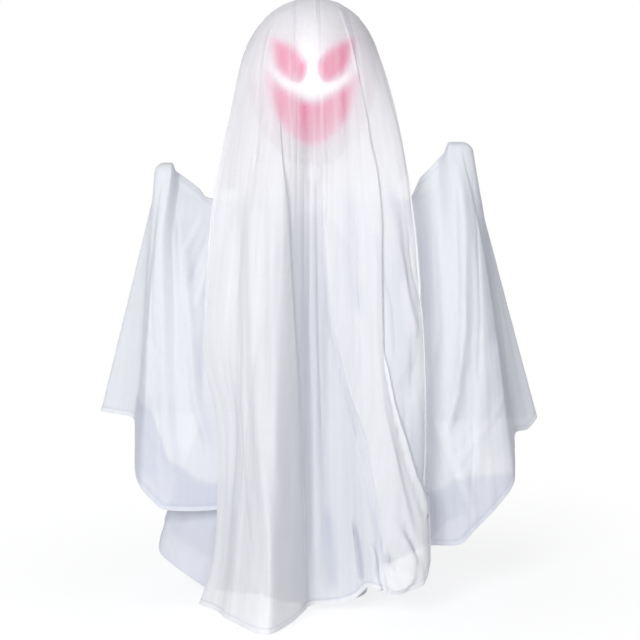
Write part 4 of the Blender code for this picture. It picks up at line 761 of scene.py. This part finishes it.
def folded(places, share, folds):
    """Height of the soft folds of a sheet at its places and a share of its fall."""
    height = np.zeros(len(places))
    for line, half_width, high in folds:
        away = places - np.interp(share, [s for s, _ in line], [p for _, p in line])
        height += high * np.exp(-(away / half_width) ** 2)
    return height


class Ripples:
    """Fine vertical gathers that wander slowly as they fall."""

    def __init__(self, seed, waves, low, high):
        rng = np.random.default_rng(seed)
        self.rate = np.exp(rng.uniform(math.log(low), math.log(high), waves))
        self.phase = rng.uniform(0, math.tau, waves)
        self.drift = rng.normal(0, 1.6, waves)
        self.bend = rng.normal(0, 1.2, waves)
        self.size = (low / self.rate) ** 0.55

    def at(self, places, share):
        total = np.zeros(len(places))
        for rate, phase, drift, bend, size in zip(self.rate, self.phase, self.drift, self.bend, self.size):
            wave = np.sin(places * rate + phase + drift * share + bend * math.sin(3 * share + phase))
            total += size * (2 * np.abs(wave) ** 0.8 - 1)
        return total / math.sqrt(len(self.rate))


def store(mesh, name, values):
    """Stores one number for each vertex."""
    kept = mesh.attributes.new(name, "FLOAT", "POINT")
    kept.data.foreach_set("value", np.asarray(values, np.float32))


def woven(name, rows, kept, across, material, cover, dense=None, single=None, hem_top=1.0):
    """A one-layer sheet over a grid of points, with its flat cut as UV map, its density, and painted shade where
    it hangs alone. Below hem_top its edges have a stitched hem: its stitch line is stored with that painted shade,
    and its doubled band gets less of the shade."""
    deep, wide = rows.shape[:2]
    ring = kept.shape[1] == wide
    down = np.concatenate([
        np.zeros((1, wide)), np.cumsum(np.linalg.norm(np.diff(rows, axis=0), axis=2), axis=0)
    ])
    down = down.mean(axis=1)
    faces, corners = [], []
    for k in range(deep - 1):
        for i in range(kept.shape[1]):
            if kept[k, i]:
                j = (i + 1) % wide
                faces.append((k * wide + i, (k + 1) * wide + i, (k + 1) * wide + j, k * wide + j))
                corners.append(((k, i), (k + 1, i), (k + 1, i + 1), (k, i + 1)))
    mesh = bpy.data.meshes.new(name)
    mesh.from_pydata([tuple(p) for p in rows.reshape(-1, 3)], [], faces)
    if ring:
        across = np.append(across, 2 * across[-1] - across[-2])
    flat = mesh.uv_layers.new(name="flat")
    table = [(across[i], down[k]) for cell in corners for k, i in cell]
    flat.data.foreach_set("uv", np.array(table, np.float32).ravel())
    shape = bmesh.new()
    shape.from_mesh(mesh)
    extra, shade_layer = shape.verts.layers.float.new("extra"), shape.verts.layers.float.new("single")
    for layer, values in ((extra, dense), (shade_layer, single)):
        if values is not None:
            for v, value in zip(shape.verts, values.ravel()):
                v[layer] = value
    bmesh.ops.delete(shape, geom=[v for v in shape.verts if not v.link_faces], context="VERTS")
    bmesh.ops.dissolve_degenerate(shape, dist=1e-6, edges=shape.edges)
    shape.verts.ensure_lookup_table()
    rim = {v.index for e in shape.edges if len(e.link_faces) == 1 for v in e.verts}
    near = KDTree(len(rim))
    for i in rim:
        near.insert(shape.verts[i].co, i)
    near.balance()
    stored = []
    for v in shape.verts:
        inwards = near.find(v.co)[2] / hem_width
        hemmed = float(v.co.z < hem_top)
        stored.append(cover(v.co) + v[extra] + 0.1 * hemmed * float(ease((1.05 - inwards) * 8)))
        stitched = 0.55 * math.exp(-((inwards - 1.15) / 0.22) ** 2)
        v[shade_layer] += hemmed * (stitched - 0.3 * float(ease((1.0 - inwards) * 4)))
    shape.to_mesh(mesh)
    shape.free()
    store(mesh, "cover", stored)
    mesh.shade_smooth()
    mesh.materials.append(material)
    return placed(name, mesh)


def piece(name, shape, material=None):
    """An object from a finished shape, with one material at most."""
    mesh = bpy.data.meshes.new(name)
    bmesh.ops.recalc_face_normals(shape, faces=shape.faces)
    shape.to_mesh(mesh)
    shape.free()
    mesh.shade_smooth()
    if material:
        mesh.materials.append(material)
    return placed(name, mesh)


def bridge(shape, one, two):
    """Joins two closed rings of points with faces."""
    for i in range(len(one)):
        j = (i + 1) % len(one)
        shape.faces.new((one[i], one[j], two[j], two[i]))


def swept(name, route, radius, material, sides):
    """A round tube along a route, with closed ends."""
    route = [Vector(p) for p in route]
    shape = bmesh.new()
    rings = []
    side = Vector((1, 0, 0))
    for k, at in enumerate(route):
        way = (route[min(k + 1, len(route) - 1)] - route[max(k - 1, 0)]).normalized()
        side = side - way * side.dot(way)
        if side.length < 1e-4:
            side = way.orthogonal()
        side.normalize()
        up = way.cross(side)
        rings.append([
            shape.verts.new(at + (side * math.cos(a) + up * math.sin(a)) * radius)
            for a in (math.tau * i / sides for i in range(sides))
        ])
    for one, two in zip(rings, rings[1:]):
        bridge(shape, one, two)
    shape.faces.new(list(reversed(rings[0])))
    shape.faces.new(rings[-1])
    return piece(name, shape, material)


def through(points, steps):
    """A smooth curve through some points."""
    points = [Vector(p) for p in points]
    padded = [2 * points[0] - points[1], *points, 2 * points[-1] - points[-2]]
    found = []
    for k in range(1, len(padded) - 2):
        a, b, c, d = padded[k - 1 : k + 3]
        for i in range(steps):
            t = i / steps
            squared, cubed = (2 * a - 5 * b + 4 * c - d) * t ** 2, (3 * b - a - 3 * c + d) * t ** 3
            found.append((2 * b + (c - a) * t + squared + cubed) / 2)
    return found + [points[-1]]


# Head


def head_point(rise, grow):
    """Radius and height of the head's outline at an angle above its widest ring, grown outwards."""
    tall = head_crown if rise > 0 else head_chin
    return (head_half_width + grow) * math.cos(rise), head_centre_height + (tall + grow) * math.sin(rise)


def half_shell(name, front, grow_out, grow_in, material, rows=64, columns=96):
    """The front or back half of the hollow head, as a closed solid."""
    neck = -math.acos(neck_radius / head_half_width)
    rises = [neck + (math.pi / 2 - neck) * k / rows for k in range(rows + 1)]
    profile = [head_point(r, grow_out) for r in rises] + [head_point(r, grow_in) for r in reversed(rises)]
    split = math.asin(head_split / head_half_width)
    first = (math.pi if front else 0) + split
    shape = bmesh.new()
    rings = []
    for i in range(columns + 1):
        a = first + (math.pi - 2 * split) * i / columns
        rings.append([
            shape.verts.new((max(r, 0.02 * MM) * math.cos(a), max(r, 0.02 * MM) * math.sin(a) * depth_share, h))
            for r, h in profile
        ])
    count = len(profile)
    for one, two in zip(rings, rings[1:]):
        for i in range(count):
            j = (i + 1) % count
            shape.faces.new((one[i], two[i], two[j], one[j]))
    for k in range(rows):
        for ring in (rings[0], rings[-1]):
            shape.faces.new((ring[k], ring[k + 1], ring[count - 2 - k], ring[count - 1 - k]))
    return piece(name, shape, material)


def outline_of(shares, mirrored):
    """A smooth closed outline in the front view from its shares: of a mirrored one, the right half."""
    half = face_width / 2
    marks = [(a * half, 0, face_bottom + b * face_height) for a, b in shares]
    if mirrored:
        marks += [(-x, 0, z) for x, _, z in reversed(marks[1:-1])]
    else:
        marks = [(-x, 0, z) for x, _, z in marks]
    loop = marks[-2:] + marks + marks[:2]
    steps = 6
    curve = through(loop, steps)
    return [(p.x, p.z) for p in curve[2 * steps : (2 + len(marks)) * steps]]


def shrunk(outline, gap):
    """A closed outline moved inwards by a gap."""
    count = len(outline)
    area = sum(outline[k][0] * outline[(k + 1) % count][1] - outline[(k + 1) % count][0] * outline[k][1]
               for k in range(count))
    turn = 1 if area > 0 else -1
    found = []
    for k in range(count):
        (ax, az), (bx, bz) = outline[k - 1], outline[(k + 1) % count]
        long = math.hypot(bx - ax, bz - az) or 1
        x, z = outline[k]
        found.append((x - turn * (bz - az) / long * gap, z + turn * (bx - ax) / long * gap))
    return found


def prism(outline):
    """A cutter through the front of the head with an outline in the front view."""
    shape = bmesh.new()
    ends = [[shape.verts.new((x, y, z)) for x, z in outline] for y in cutter_span]
    bridge(shape, *ends)
    shape.faces.new(ends[0])
    shape.faces.new(list(reversed(ends[1])))
    return piece("cutter", shape)


def cut(thing, cutter, how):
    """Applies one exact Boolean and removes its cutter."""
    change = thing.modifiers.new("cut", "BOOLEAN")
    change.operation = how
    change.solver = "EXACT"
    change.object = cutter
    graph = bpy.context.evaluated_depsgraph_get()
    made = bpy.data.meshes.new_from_object(thing.evaluated_get(graph))
    thing.modifiers.remove(change)
    thing.data = made
    bpy.data.objects.remove(cutter)


def distances(thing, outlines):
    """Distance of each vertex from the nearest outline, in the front view."""
    points = np.array([(v.co.x, v.co.z) for v in thing.data.vertices])
    best = np.full(len(points), 1.0)
    for outline in outlines:
        loop = np.array(outline)
        for a, b in zip(loop, np.roll(loop, -1, axis=0)):
            best = np.minimum(best, beside(points, a, b)[1])
    return best


def make_head(shell, pink):
    """The two head shells, with the eyes and the mouth set into the front one."""
    outlines = {
        "eye_lens_left": outline_of(eye_outline, False), "mouth_lens": outline_of(mouth_outline, True),
    }
    outlines["eye_lens_right"] = [(-x, z) for x, z in outlines["eye_lens_left"]]
    front = half_shell("face_shell", True, 0, -head_wall, shell)
    for outline in outlines.values():
        cut(front, prism(outline), "DIFFERENCE")
    apart = distances(front, outlines.values())
    store(front.data, "bleed", 0.7 * np.exp(-(apart / (3.6 * MM)) ** 1.5) + 0.16 * np.exp(-apart / (24 * MM)))
    back = half_shell("back_shell", False, 0, -head_wall, shell)
    store(back.data, "bleed", np.zeros(len(back.data.vertices)))
    nodes = {"eye_lens_left": "eye_left", "eye_lens_right": "eye_right", "mouth_lens": "mouth"}
    made = [(front, "head_front", "glowing_shell"), (back, "head_back", "glowing_shell")]
    for name, outline in outlines.items():
        lens = half_shell(name, True, -lens_gap / 2, -head_wall + lens_gap / 2, pink)
        cut(lens, prism(shrunk(outline, lens_gap)), "INTERSECT")
        store(lens.data, "inner", ease(distances(lens, [outline]) / (8 * MM)))
        made.append((lens, nodes[name], "pink_lens"))
    for thing, node, slot in made:
        thing.data.shade_smooth()
        thing.data.set_sharp_from_angle(angle=math.radians(40))
        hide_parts(node)
        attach(thing, "lift")


# Arms, hands and cord


def arm_route(side, steps):
    """The bent wire of one arm, from its socket to the middle of the hand."""
    rise = hand_rise[side]
    marks = [
        (arm_start, 0, 0), (arm_socket_reach, 0, 0), (arm_span * 0.45, -arm_forward * 0.1, 0),
        (arm_span * 0.66, -arm_forward * 0.3, rise * 0.04), (arm_span * 0.84, -arm_forward * 0.65, rise * 0.35),
        (arm_span, -arm_forward, rise),
    ]
    return through([(side * x, y, shoulder_height + z) for x, y, z in marks], steps)


def make_arms(wire, moulding):
    """The two covered wires and their hand paddles."""
    for side, label in ((-1, "left"), (1, "right")):
        route = arm_route(side, 3)
        arm = swept(f"arm_wire_{label}", arm_route(side, 8), arm_radius, wire, 20)
        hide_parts(f"arm_{label}")
        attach(arm, "lift")
        way = (route[-1] - route[-2]).normalized()
        shape = bmesh.new()
        bmesh.ops.create_uvsphere(shape, u_segments=40, v_segments=24, radius=1)
        for v in shape.verts:
            ring = math.hypot(v.co.x, v.co.y)
            v.co.z *= 1 - 0.08 * ring
        shape.transform(Matrix.Rotation(hand_turn[side], 4, "Z") @ Matrix.Diagonal((*hand_half, 1)))
        shape.transform(Matrix.Translation(route[-1] + way * (hand_half.z - hand_socket_depth)))
        hand = piece(f"hand_paddle_{label}", shape, moulding)
        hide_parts(f"hand_{label}")
        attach(hand, "lift")


def make_cord(braid):
    """The cord's turns on the drum, its run up and over the pulley, and its run down to the slider."""
    steps = 48
    turns = []
    for k in range(round(winding_turns * steps) + 1):
        left = winding_turns - k / steps
        angle = math.pi + math.tau * left
        turns.append(drum_middle + Vector((
            -winding_pitch * left, drum_radius * math.cos(angle), drum_radius * math.sin(angle)
        )))
    turns.append(turns[-1] + Vector((0, 0, 2 * cord_radius)))
    wound = swept("cord_turns", turns, cord_radius, braid, 10)
    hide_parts("cord_winding")
    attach(wound, "drum")
    rise = [drum_middle + Vector((0, -drum_radius, z)) for z in (2.5 * cord_radius, 0.08, 0.16)]
    over = [
        pulley_middle + Vector((0, pulley_groove * math.cos(a), pulley_groove * math.sin(a)))
        for a in (math.pi * k / 24 for k in range(25))
    ]
    up = swept("cord_up", rise + over, cord_radius, braid, 10)
    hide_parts("lift_cord")
    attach(up, "base")
    low = over[-1].copy()
    low.z = cord_foot
    drop = [over[-1].lerp(low, k / 12) for k in range(13)]
    down = swept("cord_down", drop, cord_radius, braid, 10)
    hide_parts("lift_cord")
    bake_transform(down)


# Cloth


def head_reach(plan, height):
    """How far from the axis the veil stays at a height, in its plan directions, to clear the head."""
    up = height - head_centre_height
    tall = np.where(up > 0, head_crown, head_chin)
    ring = np.sqrt(np.clip(1 - (up / tall) ** 2, 0, 1))
    length = np.linalg.norm(plan, axis=1)
    way = plan / length[:, None]
    clear = cloth_seat + (veil_clearance - cloth_seat) * ease((45 * MM - up) / (40 * MM))
    reach = ring / np.hypot(way[:, 0] / head_half_width, way[:, 1] / head_half_depth) + clear
    return np.where(ring > 0, reach, 0)


def laid_on_crown(bearings, front, fine):
    """The veil's rows on the crown of the head, and how much painted shade each row gets."""
    round_axis = np.radians(bearings)
    rows, single = [], []
    for k in range(veil_crown_rows + 1):
        rise = math.pi / 2 + (veil_leave - math.pi / 2) * k / veil_crown_rows
        radius, level = head_point(rise, cloth_seat)
        height = np.full(len(bearings), level)
        plan = np.stack([radius * np.sin(round_axis), -radius * np.cos(round_axis) * depth_share], axis=1)
        lift = along(plan[:, 0], height, veil_lines) * MM * front
        lift += 0.15 * MM * fine.at(bearings, 0) * ease(k / veil_crown_rows)
        plan *= ((radius + np.maximum(lift, -cloth_seat * 0.4) * ease(k / 4)) / radius)[:, None]
        rows.append(np.stack([plan[:, 0], plan[:, 1], height], axis=1))
        single.append(along(plan[:, 0], height, veil_shades) * front)
    return rows, single


def veil_hang(places, share):
    """Where the unfolded veil hangs, at its places and a share of its fall."""
    radius, top = head_point(veil_leave, cloth_seat)
    angle = np.radians(places)
    hem = from_table(veil_hem, np.where(places <= 260, places, places - 360)) * veil_reach
    out = hung(0.27, share)
    swing = (out + (0.42 * out + 0.58 * share ** 2 - out) * np.cos(angle) ** 2)[:, None]
    tucked = np.exp(-((places + 84) / 39) ** 4) * math.exp(-((share - 0.8) / 0.2) ** 4)
    first = np.stack([radius * np.sin(angle), -radius * np.cos(angle) * depth_share], axis=1)
    plan = first + (hem[:, :2] * (1, -1) - first) * swing
    plan[:, 0] += veil_tuck * tucked
    return plan, top + (hem[:, 2] + floor_gap - top) * share


def smooth_over_brow(rows):
    """Smooths the veil where it leaves the crown, and keeps it clear of the head there."""
    seam = rows[veil_crown_rows - 4 : veil_crown_rows + 10]
    for _ in range(8):
        seam[1:-1] = (seam[:-2] + 2 * seam[1:-1] + seam[2:]) / 4
    for row in seam:
        length = np.linalg.norm(row[:, :2], axis=1)
        row[:, :2] *= np.maximum(1, (head_reach(row[:, :2], row[:, 2]) - 0.6 * MM) / length)[:, None]


def make_veil(cloth):
    """The long veil: laid on the crown, hung to the floor, slit at the sides, with lapped pleats in front."""
    bearings = np.concatenate([
        np.linspace(-80, 80, 341), np.linspace(80, 100, 11)[1:-1], np.linspace(100, 260, 161),
        np.linspace(260, 280, 11)[1:-1],
    ])
    fine = Ripples(5, 14, 0.12, 0.9)
    soft = Ripples(8, 8, 0.05, 0.16)
    bunch = Ripples(3, 10, 40.0, 120.0)
    front = bearings <= veil_front_half
    pleat_lines = [np.array(sorted(pleat[0], key=lambda mark: mark[1])).T * MM for pleat in veil_pleats]
    rows, single = laid_on_crown(bearings, front, fine)
    dense = [np.zeros(len(bearings)) for _ in rows]
    for share in np.append((np.arange(1, 121) / 120) ** 1.2 * 0.984, np.linspace(0.9856, 1, 10)):
        plan, height = veil_hang(bearings, share)
        place, back = lapped(bearings, plan[front, 0], float(np.median(height[front])), share, veil_pleats)
        plan, height = veil_hang(place, share)
        level = float(np.median(height[front]))
        grown = float(ease(share / 0.3))
        lift = along(plan[:, 0], height, veil_lines) * MM * front + back
        lift += grown * folded(bearings, share, veil_folds)
        middle = np.exp(-((plan[:, 0] + 8 * MM) / (30 * MM)) ** 4) * front
        fine_now, low = fine.at(bearings, share), float(ease((share - 0.84) / 0.1))
        inside = ease((78 - np.abs(bearings)) / 14) + ease((np.abs(bearings) - 84) / 8)
        lift += fine_now * inside * (0.2 + (0.15 + 1.2 * middle) * grown) * MM
        lift += soft.at(bearings, share) * 3.5 * grown * MM
        gather = np.exp(-((bearings - 46) / 16) ** 4) * low
        lift += gather * bunch.at(plan[:, 0] + 0.6 * height, share) * 3.0 * MM
        length = np.linalg.norm(plan, axis=1)
        plan *= ((length + lift) / length)[:, None]
        plan *= np.maximum(1, head_reach(plan, height) / np.linalg.norm(plan, axis=1))[:, None]
        rows.append(np.stack([plan[:, 0], plan[:, 1], height], axis=1))
        # Painted shade: in the recessed strip between the first two pleats, beyond the outer pleat low down, and
        # along the veil's shade lines.
        left, right, outer = (np.interp(level, heights, across) for across, heights in pleat_lines)
        strip = ease((plan[:, 0] - left) / (5 * MM)) * ease((right - plan[:, 0]) / (5 * MM))
        beyond = 0.5 * ease((plan[:, 0] - outer) / (6 * MM)) * float(ease((share - 0.6) / 0.2))
        shade = along(plan[:, 0], height, veil_shades)
        single.append((strip * float(ease((share - 0.2) / 0.15)) * 0.22 + beyond + shade) * front)
        rim = np.exp(-((veil_front_half - np.abs(bearings)) / 5) ** 2)
        rim *= ease((veil_slit_height - height) / (60 * MM))
        dense.append((-0.05 * fine_now - 0.06 * single[-1] - 0.5 * rim * ease((height - 0.1) / 0.1)) * front)
    dense, single, rows = np.array(dense), np.array(single), np.array(rows)
    smooth_over_brow(rows)
    loose = np.exp(-((rows[:, :, 2] - 0.815) / 0.055) ** 2) * np.exp(-((bearings + 88) / 34) ** 2)
    rows[:, :, 0] -= veil_loose * loose
    for k, row in enumerate(rows):
        face = np.exp(-(np.abs(row[:, 2] - 0.79) / 0.1) ** 4) * front
        for x, wide, more in face_bands:
            dense[k] += more * face * np.exp(-((row[:, 0] / MM - x) / wide) ** 2)
    kept = np.ones((len(rows) - 1, len(bearings)), bool)
    middle = (bearings + np.append(bearings[1:], 280)) / 2
    slit = np.minimum(np.abs(middle - 90), np.abs(middle - 270)) < veil_slit_half
    kept[np.ix_(np.median(rows[1:, :, 2], axis=1) < veil_slit_height, slit)] = False
    fabric = woven(
        "long_veil", rows, kept, np.radians(bearings) * flat_scale, cloth, veil_cover, dense, single, veil_hem_top
    )
    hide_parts("veil")
    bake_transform(fabric)


def veil_cover(at):
    """The veil is stretched thin over the face, so less thread covers it there."""
    away = ((at.x - glow_spot[0]) / 0.082) ** 2 + ((at.z - glow_spot[1]) / 0.115) ** 2
    return 0.86 - 0.46 * math.exp(-away ** 1.5)


def even_cover(at):
    """The sleeves and the robe are woven evenly."""
    return plain_cover


def sleeve_seat(side, places):
    """The rows of a sleeve that lie on the arm and the hand, from their ridge outwards and down."""
    route = arm_route(side, 3)
    turn = hand_turn[side]
    way = (route[-1] - route[-2]).normalized()
    tip = route[-1] + way * (hand_half.z - hand_socket_depth)
    hand_inner = math.hypot(hand_half.x * math.cos(turn), hand_half.y * math.sin(turn)) + sleeve_slack
    inner = Vector((side * sleeve_inner, 0, shoulder_height))
    marks = [inner] + [p for p in route if abs(p.x) > sleeve_inner + arm_radius] + [tip]
    lengths = [0.0]
    for one, two in zip(marks, marks[1:]):
        lengths.append(lengths[-1] + (two - one).length)
    across, upper = np.array(sleeve_tops[side]).T * MM
    rows = np.zeros((sleeve_bow_rows, len(places), 3))
    for i, u in enumerate(places):
        t = 1 - (max(abs(u) - sleeve_tip_share, 0) / (1 - sleeve_tip_share)) ** 1.6
        bend = float(ease((u / sleeve_tip_share + 1) / 2)) * math.pi - math.pi / 2
        out = Vector((side * math.cos(bend), math.sin(bend), 0))
        local = Matrix.Rotation(-turn, 3, "Z") @ out
        want = t * lengths[-1]
        k = min(max(int(np.searchsorted(lengths, want, side="right")) - 1, 0), len(lengths) - 2)
        spine = marks[k].lerp(marks[k + 1], min((want - lengths[k]) / (lengths[k + 1] - lengths[k]), 1.0))
        on_hand = 1 - float(ease(((tip - spine).to_2d().length - hand_inner) / hand_inner))
        spine.y += (tip.y - spine.y) * on_hand
        spine.z += (tip.z - spine.z) * on_hand
        hand_side = math.hypot(local.x * hand_half.x, local.y * hand_half.y)
        seat = cloth_seat + arm_radius + sleeve_slack * float(ease(t * 4))
        hand_seat = cloth_seat + sleeve_slack * 0.8
        half = seat + (hand_side + hand_seat - seat) * on_hand
        above = seat + (hand_half.z + hand_seat - seat) * on_hand
        if across[0] < abs(spine.x) < across[-1]:
            above = max(above, float(np.interp(abs(spine.x), across, upper)) - spine.z)
        for k in range(sleeve_bow_rows):
            bow = math.pi / 2 * k / (sleeve_bow_rows - 1)
            rows[k, i] = spine + out * half * math.sin(bow) + Vector((0, 0, above * math.cos(bow)))
    return rows


def make_sleeve(side, label, cloth):
    """A sleeve laid along the arm and over the hand, hung in front, round the outside and behind."""
    columns = 260
    falls = np.append(np.linspace(0.0113, 0.97, 86), np.linspace(0.9735, 1, 8))
    fine = Ripples(11 + side, 14, 16.0, 90.0)
    crumple = Ripples(31 + side, 10, 10.0, 45.0)
    places = np.linspace(-1, 1, columns + 1)
    rows = list(sleeve_seat(side, places))
    starts = rows[-1]
    bends = ease((places / sleeve_tip_share + 1) / 2) * math.pi - math.pi / 2
    outs = np.stack([side * np.cos(bends), np.sin(bends), np.zeros(columns + 1)], axis=1)
    outward = np.clip(1.6 - np.abs(places) / sleeve_tip_share, 0, 1)
    eased = starts.copy()
    for _ in range(80):
        eased[1:-1] = (eased[:-2] + 2 * eased[1:-1] + eased[2:]) / 4
    eased = starts + (eased - starts) * (1 - outward)[:, None]
    hem = from_table(sleeve_hem[side], places) * (sleeve_reach * side, -sleeve_depth, shoulder_height)
    ahead = places < 0.1
    for share in falls:
        swing = (hung(0.40, share) * (1 - outward) + share * outward)[:, None]
        begun = starts + (eased - starts) * float(ease((share - 0.07) / 0.12))
        now = begun + (hem - begun) * swing
        now[:, 2] = starts[:, 2] + (hem[:, 2] - starts[:, 2]) * share
        creases = along(side * now[:, 0], now[:, 2], sleeve_lines[side])
        lift = creases * MM * ahead * float(ease(share / 0.12))
        lift += float(ease(share / 0.3)) * folded(places, share, sleeve_folds)
        lift += fine.at(places, share) * (0.15 + 0.8 * float(ease(share / 0.6))) * MM
        lift += crumple.at(places * 0.3 + share * 1.5, share) * 1.0 * MM * float(ease((share - 0.1) / 0.3))
        rows.append(now + outs * (lift * (1 - 0.6 * outward))[:, None])
    rows = np.array(rows)
    kept = np.ones((len(rows) - 1, columns), bool)
    sideways, high = side * rows[:, :, 0].ravel(), rows[:, :, 2].ravel()
    # Painted shade on the sleeve's front: along its shade lines and below the height where more cloth hangs behind
    # it.
    shade = along(sideways, high, sleeve_shades[side]).reshape(rows.shape[:2]) * ahead
    lowest = np.interp(np.abs(rows[:, :, 0]), *np.array(sleeve_shade_line[side]).T * MM)
    shade += 0.75 * ease((lowest - rows[:, :, 2]) / 0.014) * (places < 0)
    fabric = woven(
        f"sleeve_cloth_{label}", rows, kept, places * 0.6, cloth, even_cover, None, np.minimum(shade, 1)
    )
    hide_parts(f"sleeve_{label}")
    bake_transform(fabric)


def make_robe(cloth):
    """The under-skirt, gathered round the shoulder block and hung outside the base."""
    columns, fall_rows = 420, 100
    bearings = -90 + 360 * np.arange(columns) / columns
    fine = Ripples(23, 16, 0.06, 0.6)
    angle = np.radians(bearings)
    wave = np.sin(angle * 9) + 0.5 * np.sin(angle * 5 + 1)
    start = np.stack([np.sin(angle), -np.cos(angle)], axis=1) * robe_ring
    hem = from_table(robe_hem, bearings) * (robe_half_width, -robe_half_depth, robe_half_width)
    rows = []
    for share in np.arange(fall_rows + 1) / fall_rows:
        swing = (share ** 0.8, 0.5 * share ** 0.35 + 0.5 * share)
        plan = start + (hem[:, :2] - start) * swing
        lift = 6.0 * MM * float(ease(share * 1.5)) * wave
        lift += 2.2 * MM * float(ease(share * 2)) * fine.at(bearings, share)
        length = np.linalg.norm(plan, axis=1)
        plan *= ((length + lift) / length)[:, None]
        height = robe_top + (hem[:, 2] + floor_gap - robe_top) * share
        rows.append(np.stack([plan[:, 0], plan[:, 1], height], axis=1))
    kept = np.ones((fall_rows, columns), bool)
    fabric = woven("under_robe", np.array(rows), kept, angle * flat_scale, cloth, even_cover)
    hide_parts("robe")
    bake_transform(fabric)


# The whole figure

set_stage()
white = moulded("white_plastic", (0.84, 0.85, 0.86), 0.42)
finishes = {
    "white_moulding": white,
    "grey_moulding": moulded("grey_plastic", (0.28, 0.29, 0.31), 0.5),
    "black_moulding": moulded("black_plastic", (0.03, 0.03, 0.034), 0.4, 0.2),
    "dark_lens": lens_finish(),
    "steel": brushed("drawn_steel", (0.64, 0.64, 0.65), 0.3, (6.0, 6.0, 0.4)),
    "tinned_steel": brushed("tinned_strip", (0.77, 0.77, 0.77), 0.36, (0.5, 6.0, 6.0)),
    "white_nylon": moulded("nylon", (0.84, 0.84, 0.8), 0.36, 0.03, 500.0, 0.15),
    "green_board": board_finish(),
    "cell_sleeve": cell_finish(),
    "lamp_dome": dome_finish(),
}
slot_of = {row["node"]: row["material_slot"] for row in frame["record"]["subparts"]}
for name, thing in frame["nodes"].items():
    if slot_of[name] in finishes:
        thing.data.materials.clear()
        thing.data.materials.append(finishes[slot_of[name]])

make_head(shell_finish(), pink_finish())
make_arms(wire_finish(), white)
make_cord(braid_finish())
make_veil(cloth_finish("veil_cloth", (0.93, 0.93, 0.935), (0.88, 0.885, 0.91), (0.88, 0.885, 0.92)))
sleeve_weave = cloth_finish("sleeve_weave", (0.875, 0.885, 0.905), (0.81, 0.825, 0.87), (0.81, 0.825, 0.88))
make_sleeve(-1, "left", sleeve_weave)
make_sleeve(1, "right", sleeve_weave)
make_robe(cloth_finish("robe_cloth", (0.74, 0.755, 0.815), (0.69, 0.705, 0.785), (0.69, 0.705, 0.79)))
